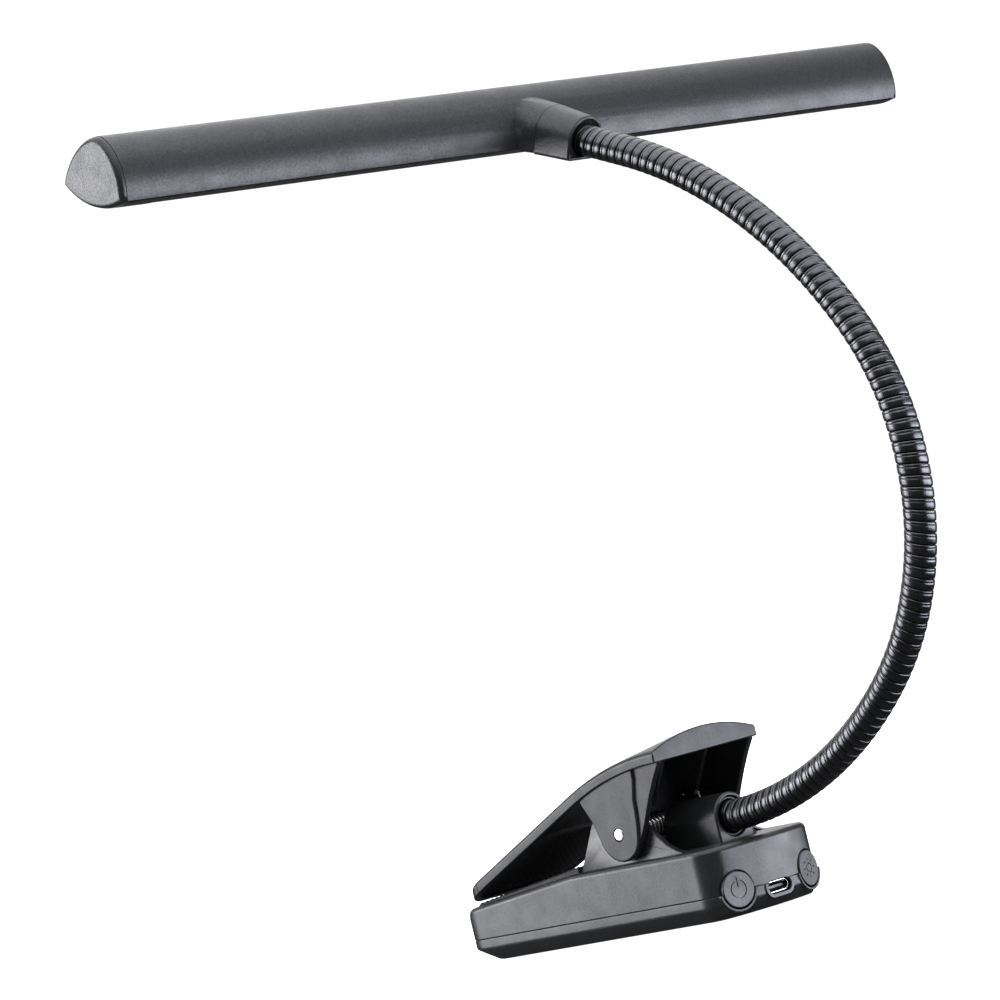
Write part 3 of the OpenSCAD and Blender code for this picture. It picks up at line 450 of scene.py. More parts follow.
# ---------------------------------------------------------------- clamp base
def plan_distance(x, y):
    """How far a point lies inside the base's outline, seen from above; below zero is outside."""
    x = abs(x)
    c = BASE_W / 2 - CORNER_R
    reach = BOW_R - CORNER_R
    cy = BOW_Y + sqrt(reach * reach - c * c)
    tip_c, tip_cy = BASE_W / 2 - TIP_CORNER_R, TIP_Y + TIP_CORNER_R
    past_corner = y > cy and (x - c) * (cy - BOW_Y) < (y - cy) * c
    if past_corner or y > BOW_Y and x * (cy - BOW_Y) < (y - BOW_Y) * c:
        return BOW_R - hypot(x, y - BOW_Y)
    if y > cy and x > c:
        return CORNER_R - hypot(x - c, y - cy)
    if y < tip_cy and x > tip_c:
        return TIP_CORNER_R - hypot(x - tip_c, y - tip_cy)
    return min(BASE_W / 2 - x, y - TIP_Y)


def button_distance(x, y, z):
    """Distance from the axis of the nearer button."""
    yaw = asin(BUTTON_X / BOW_R)
    by = BOW_Y + sqrt(BOW_R ** 2 - BUTTON_X ** 2)
    dx, dy = abs(x) - BUTTON_X, y - by
    return hypot(dx * cos(yaw) - dy * sin(yaw), z - BUTTON_Z)


# Radii of the base's rounded edges, and how near its outline an edge counts as on it
SEAM_ROUND, HOLE_ROUND, TOP_ROUND, LOW_ROUND, RING_ROUND = 0.3, 0.12, 1.7, 0.7, 0.2
BOSS_ROUND, MOUTH_ROUND, BRACKET_OUT_ROUND, BRACKET_IN_ROUND = 0.7, 0.3, 0.45, 0.3
ON_OUTLINE = 0.12
# The button holes reach this far from their axes, and the socket's opening this far from the middle
TOP_HOLE_R, LOW_HOLE_R = 5.75, 5.8
TOP_SOCKET_HALF, LOW_SOCKET_HALF = 6.5, 6.9
BOSS_MOUTH_R, BOSS_FOOT_R = 6.2, 6.9
FOOT_REACH = 2.3


def seam_round(x, y, socket_half):
    """The split line's edges are rounded, but not where the socket's opening crosses them."""
    return 0.0 if abs(x) < socket_half and y > REAR_Y - 6 else SEAM_ROUND


def top_shell_edges(x, y, z, edge):
    inside = plan_distance(x, y)
    if abs(inside) < ON_OUTLINE and button_distance(x, y, z) < TOP_HOLE_R:
        return HOLE_ROUND
    if abs(inside) < ON_OUTLINE and near(z, SPLIT_H):
        return seam_round(x, y, TOP_SOCKET_HALF)
    if abs(inside) < 0.35 and z > SPLIT_H + 3 and faces_up(edge) > 0.2:
        return TOP_ROUND
    from_axis = hypot(x, z - NECK_Z)
    if near(y, BOSS_END_Y) and z > BASE_H + 0.05:
        return MOUTH_ROUND if from_axis < BOSS_MOUTH_R else BOSS_ROUND
    if near(y, BOSS_START_Y) and z > BASE_H + 0.2 and from_axis > BOSS_FOOT_R:
        return BOSS_ROUND
    if near(abs(x), BRACKET_OUT_X, 0.03) and z > BASE_H + 0.1:
        return BRACKET_OUT_ROUND
    if near(abs(x), BRACKET_IN_X, 0.03) and z > BASE_H + 0.1:
        return BRACKET_IN_ROUND
    return 0.0


def bottom_shell_edges(x, y, z, edge):
    inside = plan_distance(x, y)
    if inside < -0.1 and z > 0.5:
        return RING_ROUND
    if abs(inside) < ON_OUTLINE and button_distance(x, y, z) < LOW_HOLE_R:
        return HOLE_ROUND
    if abs(inside) < ON_OUTLINE and near(z, SPLIT_H):
        return seam_round(x, y, LOW_SOCKET_HALF)
    if abs(inside) < ON_OUTLINE and near(z, CHAMFER_H):
        return LOW_ROUND
    if abs(z) < 0.02 and inside > 1.9 and plan_distance(x * 1.12, y * 1.06) < 3.0:
        return LOW_ROUND
    return 0.0


def reach_feet(bm):
    """The front foot of each bracket runs a little further towards the jaw."""
    for v in bm.verts:
        x, y, z = v.co / MM
        if 15 < abs(x) < 18 and near(y, BRACKET_FOOT_Y, 1.2) and near(z, BASE_H, 0.2):
            v.co.y -= FOOT_REACH * MM


rounded("base_top", "base_top_shell", "clamp_base", top_shell_edges, 4, adjust=reach_feet)
rounded("base_bottom", "base_bottom_shell", "clamp_base", bottom_shell_edges, 3)


# ---------------------------------------------------------------- lever
COVER_ROUND, RIM_ROUND, THUMB_ROUND, EAR_ROUND, WEB_ROUND = 1.3, 0.45, 0.5, 0.7, 0.25
PIN_HOLE_REACH = 3.0


def lever_edges(x, y, z, edge):
    side, up = abs(x), faces_up(edge)
    sideways = max(abs(f.normal.x) for f in edge.link_faces)
    on_tip = y < LEVER_TIP_Y + CORNER_R + 0.3 and lever_tip_distance(x, y) < 0.1
    at_pin = hypot(y - PIN_Y, z - PIN_Z) < PIN_HOLE_REACH
    if side > LEVER_W / 2 - 0.06 or on_tip:
        return COVER_ROUND if up > 0.5 else RIM_ROUND
    if near(y, LEVER_END_Y, 0.9) and z > PIN_Z + 14:
        return THUMB_ROUND
    if near(side, EAR_FACE_X) and sideways > 0.9:
        return 0.0 if at_pin else EAR_ROUND
    if near(side, WEB_OUT_X) or near(side, WEB_IN_X):
        return 0.0 if at_pin else WEB_ROUND
    return 0.0


def lever_tip_distance(x, y):
    """Distance from the lever's outline at its tip, seen from above."""
    c, cy = LEVER_W / 2 - CORNER_R, LEVER_TIP_Y + CORNER_R
    if abs(x) > c and y < cy:
        return abs(CORNER_R - hypot(abs(x) - c, y - cy))
    return min(abs(LEVER_W / 2 - abs(x)), abs(y - LEVER_TIP_Y))


rounded("lever_body", "lever_cover", "lever", lever_edges, 4)


def crown(x, height):
    return height * (1 - (2 * x / LEVER_W) ** 2)


# ---------------------------------------------------------------- jaw pads, with their studs
STUD_PITCH, STUD_DEEP, PAD_RIM_R = 2.2, 0.35, 0.6


def stud(u, v):
    return (0.5 + 0.5 * cos(2 * pi * u / STUD_PITCH)) * (0.5 + 0.5 * cos(2 * pi * v / STUD_PITCH))


def pad_grid(name, node, body, rows, cols, top, under):
    """Closed pad between two surfaces given over the unit square."""
    bm = bmesh.new()
    up, low = ([[bm.verts.new(Vector(surface(i / rows, j / cols)) * MM)
                 for j in range(cols + 1)] for i in range(rows + 1)] for surface in (top, under))
    for i in range(rows):
        for j in range(cols):
            bm.faces.new((up[i][j], up[i + 1][j], up[i + 1][j + 1], up[i][j + 1]))
            bm.faces.new((low[i][j], low[i][j + 1], low[i + 1][j + 1], low[i + 1][j]))
    ring = ([(i, 0) for i in range(rows)] + [(rows, j) for j in range(cols)]
            + [(i, cols) for i in range(rows, 0, -1)] + [(0, j) for j in range(cols, 0, -1)])
    for k, (i, j) in enumerate(ring):
        i2, j2 = ring[(k + 1) % len(ring)]
        bm.faces.new((up[i][j], low[i][j], low[i2][j2], up[i2][j2]))
    obj = add_object(name, bm, MAT["pad_rubber"])
    shade(obj, 40, False)
    place(obj, body, "pad_rubber", node)


PAD_HALF = BASE_W / 2 - 4.3
RAMP_END_Y = RAMP_Y0 + (BASE_H - RAMP_Z0) / tan(RAMP_A)
PAD_Y0, PAD_Y1 = TIP_Y + 6.6, min(RAMP_END_Y, PIN_Y - 22.6)


def edge_fall(u, v, width_u, width_v):
    """Rounds a pad's rim: how far the surface falls near its four edges."""
    d = min(u * width_u, (1 - u) * width_u, v * width_v, (1 - v) * width_v)
    return 0 if d >= PAD_RIM_R else PAD_RIM_R - sqrt(max(0, PAD_RIM_R ** 2 - (PAD_RIM_R - d) ** 2))


def lower_pad_place(u, v):
    return -PAD_HALF + 2 * PAD_HALF * v, PAD_Y0 + (PAD_Y1 - PAD_Y0) * u


def lower_pad_top(u, v):
    x, y = lower_pad_place(u, v)
    fall = max(edge_fall(u, v, PAD_Y1 - PAD_Y0, 2 * PAD_HALF), STUD_DEEP * (1 - stud(y, x)))
    rise = u * (ramp_z(PAD_Y1) + PAD_RISE - ramp_z(PAD_Y0))
    return (x, y, ramp_z(PAD_Y0) + PAD_PROUD + rise - fall)


def lower_pad_under(u, v):
    rise = u * (ramp_z(PAD_Y1) - ramp_z(PAD_Y0))
    return (*lower_pad_place(u, v), ramp_z(PAD_Y0) - (PAD_T - PAD_PROUD) + rise)


UPPER_PAD_LEN, UPPER_PAD_GAP, COVER_GAP = 34.0, 0.1, 0.02
STRAIGHT_LEN = KNEE_RUN / cos(SLOPE)
UPPER_HALF = LEVER_W / 2 - RIM_T - UPPER_PAD_GAP


def under_lever(d, depth):
    """Y and Z d mm from the knee towards the tip, and depth mm under the side edge's line."""
    return (KNEE_Y - d * cos(SLOPE) + depth * sin(SLOPE),
            KNEE_Z - d * sin(SLOPE) - depth * cos(SLOPE))


def upper_half_width(y):
    c, cy = LEVER_W / 2 - CORNER_R, LEVER_TIP_Y + CORNER_R
    r = CORNER_R - RIM_T - UPPER_PAD_GAP
    if y >= cy:
        return UPPER_HALF
    return c + sqrt(max(0.0, r * r - (cy - y) ** 2))


def upper_pad_point(u, v, depth):
    d = STRAIGHT_LEN - RIM_T - UPPER_PAD_LEN + (UPPER_PAD_LEN - 2 * UPPER_PAD_GAP) * u
    y, z = under_lever(d, depth)
    low_y = under_lever(d, RIM_DEPTH)[0]
    x = upper_half_width(min(y, low_y)) * (2 * v - 1)
    return x, y, z, d


def upper_pad_bottom(u, v):
    x, y, z, d = upper_pad_point(u, v, RIM_DEPTH)
    rise = max(edge_fall(u, v, UPPER_PAD_LEN, 2 * UPPER_HALF), STUD_DEEP * (1 - stud(d, x)))
    return (x, y - rise * sin(SLOPE), z + rise * cos(SLOPE))


def upper_pad_top(u, v):
    x = upper_pad_point(u, v, RIM_DEPTH)[0]
    return (x, *upper_pad_point(u, v, COVER_T + COVER_GAP - crown(x, CROWN))[1:3])


pad_grid("lower_pad", "lower_jaw_pad", "clamp_base", 104, 84, lower_pad_top, lower_pad_under)
pad_grid("upper_pad", "upper_jaw_pad", "lever", 78, 90, upper_pad_bottom, upper_pad_top)


# ---------------------------------------------------------------- pivot pin
def lathe_x(name, profile, sides, centre, material):
    """Turns a profile of (x, r) round an axis along X through centre, closed at both ends."""
    bm = bmesh.new()
    rings = []
    for x, r in profile:
        if r == 0:
            rings.append([bm.verts.new((x * MM, centre[0] * MM, centre[1] * MM))])
        else:
            rings.append([bm.verts.new((x * MM, (centre[0] + r * cos(2 * pi * j / sides)) * MM,
                                        (centre[1] + r * sin(2 * pi * j / sides)) * MM))
                          for j in range(sides)])
    for a, b in zip(rings, rings[1:]):
        for j in range(sides):
            k = (j + 1) % sides
            if len(a) == 1:
                bm.faces.new((a[0], b[j], b[k]))
            elif len(b) == 1:
                bm.faces.new((a[j], b[0], a[k]))
            else:
                bm.faces.new((a[j], b[j], b[k], a[k]))
    return add_object(name, bm, material)


# From the pin's middle to one end: the drop below PIN_R at each distance short of the ear's face
PIN_END_DROPS = ((0.5, 0.0), (0.3, 0.06), (0.12, 0.2), (0.03, 0.42), (0.0, 0.7))
half_pin = [(0, PIN_R)] + [(EAR_FACE_X - short, PIN_R - drop) for short, drop in PIN_END_DROPS] + [
    (EAR_FACE_X, 0)]
pin_profile = [(-x, r) for x, r in reversed(half_pin)] + half_pin[1:]
pin = lathe_x("hinge_pin", pin_profile, 40, (PIN_Y, PIN_Z), MAT["pin_steel"])
shade(pin, 40, False)
place(pin, "clamp_base", "pin_steel", "pivot_pin")


# ---------------------------------------------------------------- small moulded pieces
BULKHEAD_Y, BULKHEAD_T, BULKHEAD_FOOT_Z, BULKHEAD_RISE = PIN_Y - 10.4, 1.6, PIN_Z + 3.2, 2.6
APRON_HALF, APRON_FOOT_Z = 15.0, PIN_Z - 5.4
BULKHEAD_ROUND, CEILING_BITE = 0.3, 0.4


def lever_bulkhead():
    """Cross wall under the lever, ahead of the pin; its middle hangs down between the brackets."""
    bm = bmesh.new()
    half, inner = WEB_IN_X, APRON_HALF
    stations = [-half, -half + 1.4, -inner - 0.4] + [inner * (i - 6) / 6 for i in range(13)] + [
        inner + 0.4, half - 1.4, half]
    rows = []
    for y in (BULKHEAD_Y - BULKHEAD_T / 2, BULKHEAD_Y + BULKHEAD_T / 2):
        low, high = [], []
        for x in stations:
            foot = APRON_FOOT_Z if abs(x) <= inner else (
                BULKHEAD_FOOT_Z + BULKHEAD_RISE * (x / half) ** 4)
            low.append(bm.verts.new(Vector((x, y, foot)) * MM))
            high.append(bm.verts.new(Vector((x, y, cover_under(x, y))) * MM))
        rows.append((low, high))
    (a0, a1), (b0, b1) = rows
    for i in range(len(stations) - 1):
        bm.faces.new((a0[i], a0[i + 1], a1[i + 1], a1[i]))
        bm.faces.new((b0[i + 1], b0[i], b1[i], b1[i + 1]))
        bm.faces.new((a0[i + 1], a0[i], b0[i], b0[i + 1]))
        bm.faces.new((a1[i], a1[i + 1], b1[i + 1], b1[i]))
    bm.faces.new((a0[0], a1[0], b1[0], b0[0]))
    bm.faces.new((a1[-1], a0[-1], b0[-1], b1[-1]))
    obj = add_object("lever_bulkhead", bm, MAT["lever"])
    b = obj.modifiers.new("edges", "BEVEL")
    b.width, b.segments = BULKHEAD_ROUND * MM, 2
    b.limit_method, b.angle_limit = "ANGLE", radians(50)
    apply_modifiers(obj)
    shade(obj, 40)
    place(obj, "lever", "lever")


def crown_height(slope):
    """The crown grows from the knee to the thumb end."""
    share = max(0.0, (SLOPE - slope) / (SLOPE - END_SLOPE))
    return CROWN + (THUMB_CROWN - CROWN) * share ** 2.2


def slope_at(y):
    return SLOPE if y < KNEE_Y else asin((ARC_Y - y) / BEND_R)


def cover_under(x, y):
    """Height of the lever's inner ceiling, a little way inside the cover."""
    depth = COVER_T - CEILING_BITE - crown(x, crown_height(slope_at(y)))
    if y < KNEE_Y:
        return KNEE_Z - (KNEE_Y - y) * tan(SLOPE) - depth / cos(SLOPE)
    return ARC_Z + sqrt((BEND_R - depth) ** 2 - (ARC_Y - y) ** 2)


lever_bulkhead()

# Lining ring that closes most of the boss's mouth round the gooseneck
BUSH_IN_R, BUSH_OUT_R, BUSH_DEPTH = 4.95, 5.86, 2.5
BUSH_PROFILE = [(0, BUSH_IN_R), (0, BUSH_OUT_R), (1.3, BUSH_OUT_R), (1.62, 5.74), (1.75, 5.5),
                (1.75, 5.25), (1.62, 5.04), (1.3, BUSH_IN_R), (0, BUSH_IN_R)]
bush = lathe_x("neck_bushing", BUSH_PROFILE, 48, (0, 0), MAT["shell"])
bush.data.transform(Matrix.Translation((0, (BOSS_END_Y - BUSH_DEPTH) * MM, NECK_Z * MM))
                    @ Matrix.Rotation(pi / 2, 4, "Z"))
shade(bush, 40, False)
place(bush, "clamp_base", "shell")


# ---------------------------------------------------------------- torsion springs
COIL_CLEAR, LEG_GAP_UP, LEG_GAP_DOWN, SPRING_FREE = 0.75, 0.2, 0.06, 0.7
COIL_R = PIN_R + COIL_CLEAR + WIRE_D / 2
COIL_X0, CURL_STEPS = 3.0, 40
COIL_X1 = COIL_X0 + TURNS * (WIRE_D + CURL_GAP)
ARC_DIST = hypot(ARC_Y - PIN_Y, ARC_Z - PIN_Z)
LEG_A = atan2(ARC_Z - PIN_Z, ARC_Y - PIN_Y) + acos(COIL_R / ARC_DIST)
LEG_CROWN = crown(COIL_X1, crown_height(slope_at(PIN_Y - 1)))
UPPER_LEG = BEND_R + LEG_CROWN - COVER_T - sqrt(ARC_DIST ** 2 - COIL_R ** 2) - LEG_GAP_UP
LOWER_LEG = PIN_Z - BASE_H - LEG_GAP_DOWN


def spring_line():
    """The right spring's wire: a leg up to the cover, the curls, and a leg down to the base."""
    def coil(t):
        a = LEG_A - (2 * pi * TURNS + LEG_A) * t
        return Vector((COIL_X1 - (COIL_X1 - COIL_X0) * t, PIN_Y + COIL_R * cos(a),
                       PIN_Z + COIL_R * sin(a)))
    first, last = coil(0), coil(1)
    along = Vector((0, -sin(LEG_A), cos(LEG_A)))
    legs_up = [first + along * UPPER_LEG * k for k in (1, 0.75, 0.5, 0.25)]
    steps = TURNS * CURL_STEPS
    curls = [coil(k / steps) for k in range(steps + 1)]
    legs_down = [last - Vector((0, 0, LOWER_LEG * k)) for k in (0.33, 0.66, 1)]
    return legs_up + curls + legs_down


def tube(name, line, r, sides, material):
    """Round wire along a line of points, closed at both ends."""
    bm = bmesh.new()
    rings = []
    for k, p in enumerate(line):
        way = (line[min(k + 1, len(line) - 1)] - line[max(k - 1, 0)]).normalized()
        e = (Vector((1, 0, 0)) - way * way.x).normalized()
        f = way.cross(e)
        around = [2 * pi * j / sides for j in range(sides)]
        rings.append([bm.verts.new((p + (e * cos(a) + f * sin(a)) * r) * MM) for a in around])
    for a, b in zip(rings, rings[1:]):
        for j in range(sides):
            bm.faces.new((a[j], a[(j + 1) % sides], b[(j + 1) % sides], b[j]))
    bm.faces.new(rings[0])
    bm.faces.new(rings[-1])
    return add_object(name, bm, material)


for side, label in ((1, "right"), (-1, "left")):
    path = [Vector((side * p.x, p.y, p.z)) for p in spring_line()]
    spring = tube("spring_" + label, path, WIRE_D / 2, 12, MAT["spring_steel"])
    shade(spring, 50, False)
    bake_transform(spring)
    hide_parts("clamp_spring_" + label)


# ---------------------------------------------------------------- buttons and socket
BUTTON_ROUND, SOCKET_ROUND = 0.35, 0.1


def button_edges(x, y, z, edge):
    on_rim = near(button_distance(x, y, z), BUTTON_R, 0.15) and plan_distance(x, y) < 0.05
    return BUTTON_ROUND if on_rim else 0.0


rounded("power_cap", "power_button", "power_button", button_edges, 3)
rounded("mode_cap", "mode_button", "mode_button", button_edges, 3)


def socket_edges(x, y, z, edge):
    return SOCKET_ROUND if y > REAR_Y - 1.0 else 0.0


rounded("socket_shell_piece", "charging_socket", "clamp_base", socket_edges, 2)


# ---------------------------------------------------------------- gooseneck
# One pitch of the winding, a broad rounded band with a fine ledge between two grooves:
# place in the pitch, drop below the crest in mm, and how much painted shade darkens it
RIBS = [(0.0, 0.5, 1.0), (0.03, 0.42, 0.9), (0.055, 0.15, 0.15), (0.13, 0.07, 0.0),
        (0.3, 0.01, 0.0), (0.5, 0.0, 0.0), (0.67, 0.005, 0.0), (0.69, 0.065, 0.7),
        (0.715, 0.065, 0.7), (0.735, 0.03, 0.0), (0.87, 0.08, 0.0), (0.945, 0.16, 0.15),
        (0.97, 0.42, 0.9)]
HOSE_SIDES = 32
HOSE_R, HOSE_BORE = 4.56, 3.62


def rib_at(phi):
    """Drop and painted groove shade at a place in the winding, counted in pitches."""
    phi %= 1.0
    points = RIBS + [(1.0, RIBS[0][1], RIBS[0][2])]
    for a, b in zip(points, points[1:]):
        if a[0] <= phi <= b[0]:
            t = (phi - a[0]) / (b[0] - a[0])
            return a[1] + (b[1] - a[1]) * t, a[2] + (b[2] - a[2]) * t
    return points[0][1], points[0][2]


def neck_point(s, a, r):
    """The point at angle a and distance r round the neck's line at s."""
    y, z, h = neck_at(s)
    return Vector((r * cos(a), y - r * sin(a) * sin(h), z + r * sin(a) * cos(h))) * MM


def neck_angle(v, s):
    """The angle of a vertex round the neck's line at s."""
    y, z, h = neck_at(s)
    return atan2((v.co.z / MM - z) * cos(h) - (v.co.y / MM - y) * sin(h), v.co.x / MM)


def hose_piece(index, s0, s1):
    """The hose from s0 to s1: the winding outside, a smooth bore, and a flat ring at each end."""
    bm = bmesh.new()
    # Painted shade: each vertex carries how much painted groove shade darkens the hose's colour
    layer = bm.verts.layers.float.new("groove")
    n = HOSE_SIDES
    first = int(s0 / RIB_PITCH) - 2
    last = int(s1 / RIB_PITCH) + 2
    phis = [p[0] for p in RIBS]
    cols = {}

    def column(t):
        if t not in cols:
            verts = []
            angle = 2 * pi * (t % n) / n
            for phi in phis:
                s = min(max((t / n + phi) * RIB_PITCH, s0), s1)
                drop, groove = rib_at(s / RIB_PITCH - t / n)
                v = bm.verts.new(neck_point(s, angle, HOSE_R - drop))
                v[layer] = groove
                verts.append((v, s))
            cols[t] = verts
        return cols[t]

    for t in range(first * n, last * n):
        a, b = column(t), column(t + 1)
        strip_a = a + [column(t + n)[0]]
        strip_b = b + [column(t + n + 1)[0]]
        for m in range(len(phis)):
            quad = (strip_a[m], strip_b[m], strip_b[m + 1], strip_a[m + 1])
            places = [q[1] for q in quad]
            if min(places) >= s1 or max(places) <= s0:
                continue
            bm.faces.new([q[0] for q in quad])
    bmesh.ops.delete(bm, geom=[v for v in bm.verts if not v.link_faces], context="VERTS")
    bmesh.ops.remove_doubles(bm, verts=bm.verts, dist=1e-7)
    rim = {s0: [], s1: []}
    for e in [e for e in bm.edges if len(e.link_faces) == 1]:
        mid = (e.verts[0].co + e.verts[1].co) / 2
        key = min((s0, s1), key=lambda s: (mid - neck_point(s, 0, 0)).length)
        rim[key].append(e)
    bore = {}
    for s in (s0, s1):
        ring = sorted({v for e in rim[s] for v in e.verts}, key=lambda v: neck_angle(v, s))
        inner = [bm.verts.new(neck_point(s, neck_angle(v, s), HOSE_BORE)) for v in ring]
        for j in range(len(ring)):
            k = (j + 1) % len(ring)
            bm.faces.new((ring[j], ring[k], inner[k], inner[j]))
        bore[s] = inner
    steps = max(2, int((s1 - s0) / 3))
    angles = [neck_angle(v, s0) for v in bore[s0]]
    rings = [bore[s0]]
    for k in range(1, steps):
        s = s0 + (s1 - s0) * k / steps
        rings.append([bm.verts.new(neck_point(s, a, HOSE_BORE)) for a in angles])
    rings.append(bore[s1])
    for a, b in zip(rings, rings[1:]):
        for j in range(len(a)):
            k = (j + 1) % len(a)
            bm.faces.new((a[j], b[j], b[k], a[k]))
    obj = add_object("hose_%d" % index, bm, MAT["hose_steel"])
    shade(obj, 60, False)
    return obj


for i in range(1, JOINTS + 1):
    start_s = 0.0 if i == 1 else joint_at(i) - JOINT_PITCH / 2
    end_s = NECK_LEN if i == JOINTS else joint_at(i) + JOINT_PITCH / 2
    piece = hose_piece(i, start_s, end_s)
    jy, jz, jh = neck_at(joint_at(i))
    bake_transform(piece)
    if i == 1:
        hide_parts("neck_sleeve_0", "neck_sleeve_1")
    else:
        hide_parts("neck_sleeve_%d" % i)


# ---------------------------------------------------------------- light head
def in_head_frame(x, y, z):
    return TO_HEAD @ Vector((x, y, z))


HALF_W = HEAD_W / 2
END_CAP_T = 2
SHELL_HALF = HEAD_LEN / 2 - END_CAP_T
ARCH_POWER = 1.7
# Radii of the head's rounded edges
BAR_SEAM_ROUND, BAR_SIDE_ROUND, BAR_END_ROUND = 0.05, 0.35, 1.5
STRIP_ROUND, LENS_ROUND = 0.3, 0.15
HUB_SEAM_ROUND, HUB_CORNER_ROUND, COLLAR_RIM_ROUND = 0.25, 2.4, 0.5


def arch_distance(y, z):
    """How far a point lies from the arch's outer line, measured upwards or outwards."""
    y, z = abs(y), max(z, 0.0)
    if y >= HALF_W:
        return y - HALF_W
    return abs(z - ARCH_H * (1 - (y / HALF_W) ** ARCH_POWER) ** (1 / ARCH_POWER))


def head_edges(x, y, z, edge):
    p = in_head_frame(x, y, z)
    if p.y > HALF_W + 0.3:
        if near(p.y, HUB_SEAM, 0.06):
            return HUB_SEAM_ROUND if hypot(p.x, p.z - AXIS_RISE) > 5.2 else 0.0
        if near(p.z, AXIS_RISE - HUB_DROP, 0.1) and abs(p.x) > 7:
            return HUB_CORNER_ROUND
        return 0.0
    if near(abs(p.x), SHELL_HALF) and arch_distance(p.y, p.z) < 0.35:
        return BAR_SEAM_ROUND
    if near(abs(p.y), HALF_W, 0.12) and abs(p.z) < 0.1:
        return BAR_SIDE_ROUND
    return 0.0


def collar_edges(x, y, z, edge):
    p = in_head_frame(x, y, z)
    level = p.z - AXIS_RISE
    length = (edge.verts[0].co - edge.verts[1].co).length / MM
    if near(p.y, HUB_REACH, 0.06):
        on_mouth = hypot(p.x, max(level, 0)) < 6.4 and level > -4.75
        return HUB_SEAM_ROUND if on_mouth else COLLAR_RIM_ROUND
    if near(p.y, HUB_SEAM + 0.06, 0.06) and hypot(p.x, level) > 5.5:
        return HUB_SEAM_ROUND
    if length > 8 and level < -4.5 and abs(p.x) > 6.5:
        return HUB_CORNER_ROUND
    return 0.0


def cap_edges(x, y, z, edge):
    p = in_head_frame(x, y, z)
    if near(abs(p.x), HEAD_LEN / 2, 0.02):
        return BAR_END_ROUND
    if near(abs(p.x), SHELL_HALF, 0.02) and arch_distance(p.y, p.z) < 0.4:
        return BAR_SEAM_ROUND
    return 0.0


rounded("head_body", "head_shell", "light_head", head_edges, 4)
rounded("collar", "hub_collar", "light_head", collar_edges, 5)
rounded("cap_right", "end_cap_right", "light_head", cap_edges, 4, 60)
rounded("cap_left", "end_cap_left", "light_head", cap_edges, 4, 60)


def cover_edges(x, y, z, edge):
    p = in_head_frame(x, y, z)
    on_window = abs(p.y) < 7.7 and abs(p.x) < HEAD_LEN / 2 - 14 and p.z < -2.5
    return STRIP_ROUND if on_window else 0.0


rounded("under_cover", "head_lower_cover", "light_head", cover_edges, 3)
rounded("lens_strip", "diffuser", "light_head", lambda x, y, z, edge: LENS_ROUND, 2)

MOUTH_R, MOUTH_DROP, MOUTH_DEPTH = 6.05, 4.6, 2.45
LINING_TOP, LINING_STEP, LINING_IN_R, LINING_WALL, LINING_SIDES = 0.35, 1.3, 4.58, 0.03, 72


def hub_lining():
    """Sloped lining that closes the D-shaped mouth of the collar round the gooseneck."""
    bm = bmesh.new()
    sides = LINING_SIDES
    rings = []
    for depth, inner in ((LINING_TOP, False), (LINING_STEP, True), (MOUTH_DEPTH, True),
                         (MOUTH_DEPTH, False)):
        ring = []
        for k in range(sides):
            c, s = cos(2 * pi * k / sides), sin(2 * pi * k / sides)
            r = MOUTH_R if s >= 0 else min(MOUTH_R / max(abs(c), 1e-6), MOUTH_DROP / abs(s))
            if inner:
                r = min(LINING_IN_R, r - LINING_WALL)
            point = Vector((r * c, HUB_REACH - depth, AXIS_RISE + r * s))
            ring.append(bm.verts.new((IN_HEAD @ point) * MM))
        rings.append(ring)
    for a, b in zip(rings, rings[1:] + rings[:1]):
        for k in range(sides):
            n = (k + 1) % sides
            bm.faces.new((a[k], b[k], b[n], a[n]))
    obj = add_object("hub_lining", bm, MAT["button"])
    shade(obj, 40, False)
    place(obj, "light_head", "head")


hub_lining()

# ---------------------------------------------------------------- floor, light and camera
WHITE = (1.0, 1.0, 1.0)
FLOOR_R, FLOOR_DROP, FLOOR_GLOW = 14.0, 0.0002, 1.0
SKY_LIGHT, BACKDROP_LIGHT = 0.1, 1.1


def floor_material():
    """Pale paper that glows to the camera only, so that it stays white behind the object."""
    m = new_material("floor_pale", (0.9, 0.9, 0.9), 0.9)
    nodes, links = nodes_of(m)
    feed(m, "Base Color", mixed(m, spread(m, noise(m, 3), 0, 1), (0.77, 0.77, 0.77),
                                (0.80, 0.80, 0.80)))
    glow = nodes.new("ShaderNodeEmission")
    glow.inputs["Strength"].default_value = FLOOR_GLOW
    sight = nodes.new("ShaderNodeLightPath")
    both = nodes.new("ShaderNodeAddShader")
    pick = nodes.new("ShaderNodeMixShader")
    links.new(nodes["Principled BSDF"].outputs[0], both.inputs[0])
    links.new(glow.outputs[0], both.inputs[1])
    links.new(sight.outputs["Is Camera Ray"], pick.inputs[0])
    links.new(nodes["Principled BSDF"].outputs[0], pick.inputs[1])
    links.new(both.outputs[0], pick.inputs[2])
    links.new(pick.outputs[0], nodes["Material Output"].inputs["Surface"])
    return m


bm = bmesh.new()
bmesh.ops.create_circle(bm, cap_ends=True, radius=FLOOR_R, segments=96)
floor = add_object("floor", bm, floor_material())
floor.location = (0, 0, -FLOOR_DROP)
floor.visible_glossy = False

# The fitted camera: its heading, its place in mm, and its focal length in picture widths
CAMERA_AZIMUTH, CAMERA_ELEVATION, CAMERA_ROLL = radians(136.18), radians(-1.97), radians(-13.72)
CAMERA_AT = Vector((946.648, 968.207, 85.718)) * MM
FOCAL_SHARE = 4.60102

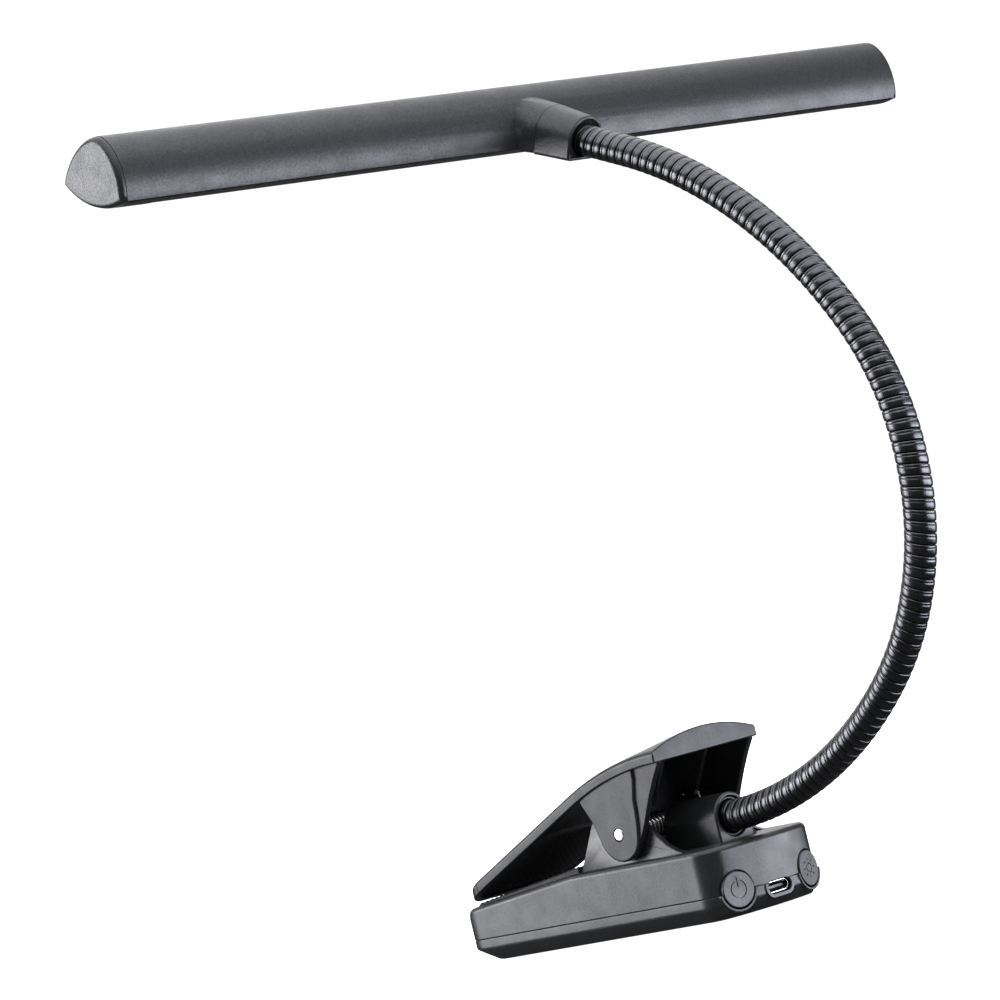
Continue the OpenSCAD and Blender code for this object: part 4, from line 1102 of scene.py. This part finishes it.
view_back = Vector((sin(CAMERA_AZIMUTH) * cos(CAMERA_ELEVATION),
                    -cos(CAMERA_AZIMUTH) * cos(CAMERA_ELEVATION), sin(CAMERA_ELEVATION)))
flat_right = Vector((cos(CAMERA_AZIMUTH), sin(CAMERA_AZIMUTH), 0))
flat_up = view_back.cross(flat_right)
right = flat_right * cos(CAMERA_ROLL) + flat_up * sin(CAMERA_ROLL)
up = flat_up * cos(CAMERA_ROLL) - flat_right * sin(CAMERA_ROLL)
camera_data = bpy.data.cameras.new("camera")
camera_data.sensor_width = 36.0
camera_data.lens = FOCAL_SHARE * camera_data.sensor_width
camera_data.clip_start = 0.02
camera_data.clip_end = 100
camera = bpy.data.objects.new("camera", camera_data)
bpy.context.scene.collection.objects.link(camera)
turn = Matrix((right, up, view_back)).transposed().to_4x4()
camera.matrix_world = Matrix.Translation(CAMERA_AT) @ turn
bpy.context.scene.camera = camera


def softbox(name, at, aim, size, level, colour):
    """Rectangle of light that looks this bright in reflections and that the camera doesn't see."""
    data = bpy.data.lights.new(name, "AREA")
    data.shape = "RECTANGLE"
    data.size, data.size_y = size
    data.energy = pi * size[0] * size[1] * level
    data.color = colour
    obj = bpy.data.objects.new(name, data)
    bpy.context.scene.collection.objects.link(obj)
    at, aim = Vector(at), Vector(aim)
    heading = (aim - at).to_track_quat("-Z", "Y").to_matrix().to_4x4()
    obj.matrix_world = Matrix.Translation(at) @ heading
    obj.visible_camera = False


COOL, NEUTRAL, SKY = (0.86, 0.89, 1.0), (0.955, 0.96, 1.0), (0.94, 0.95, 1.0)
# The floor is left out of reflections, so the low boxes reach below it
for name, at, aim, size, level, colour in (
        ("low_right", (-1.08, 1.36, -0.17), (0, 0.05, 0), (2.1, 0.75), 9.2, COOL),
        ("fill_right", (-1.3, 1.35, 0.75), (0, 0.05, 0.2), (1.8, 0.9), 0.7, COOL),
        ("low_left", (1.1, -1.3, 0.03), (0, 0, 0), (1.1, 0.5), 7.6, NEUTRAL),
        ("high_left", (1.15, -1.3, 0.55), (0, 0, 0.2), (1.1, 0.5), 12.2, NEUTRAL),
        ("back", (-1.7, -1.8, 0.95), (0, 0.05, 0.12), (2.6, 1.5), 1.3, WHITE),
        ("overhead", (0.3, 0.2, 1.6), (0.3, 0.2, 0), (4.0, 4.0), 2.4, SKY)):
    softbox(name, at, aim, size, level, colour)

world = bpy.data.worlds.new("studio")
bpy.context.scene.world = world
world.use_nodes = True
nodes, links = nodes_of(world)
sky = nodes["Background"]
sky.inputs["Color"].default_value = (0.97, 0.985, 1.0, 1)
sky.inputs["Strength"].default_value = SKY_LIGHT
backdrop = nodes.new("ShaderNodeBackground")
backdrop.inputs["Color"].default_value = (*WHITE, 1)
backdrop.inputs["Strength"].default_value = BACKDROP_LIGHT
sight = nodes.new("ShaderNodeLightPath")
pick = nodes.new("ShaderNodeMixShader")
links.new(sight.outputs["Is Camera Ray"], pick.inputs[0])
links.new(sky.outputs["Background"], pick.inputs[1])
links.new(backdrop.outputs["Background"], pick.inputs[2])
links.new(pick.outputs["Shader"], nodes["World Output"].inputs["Surface"])
bpy.context.scene.view_settings.view_transform = "Standard"
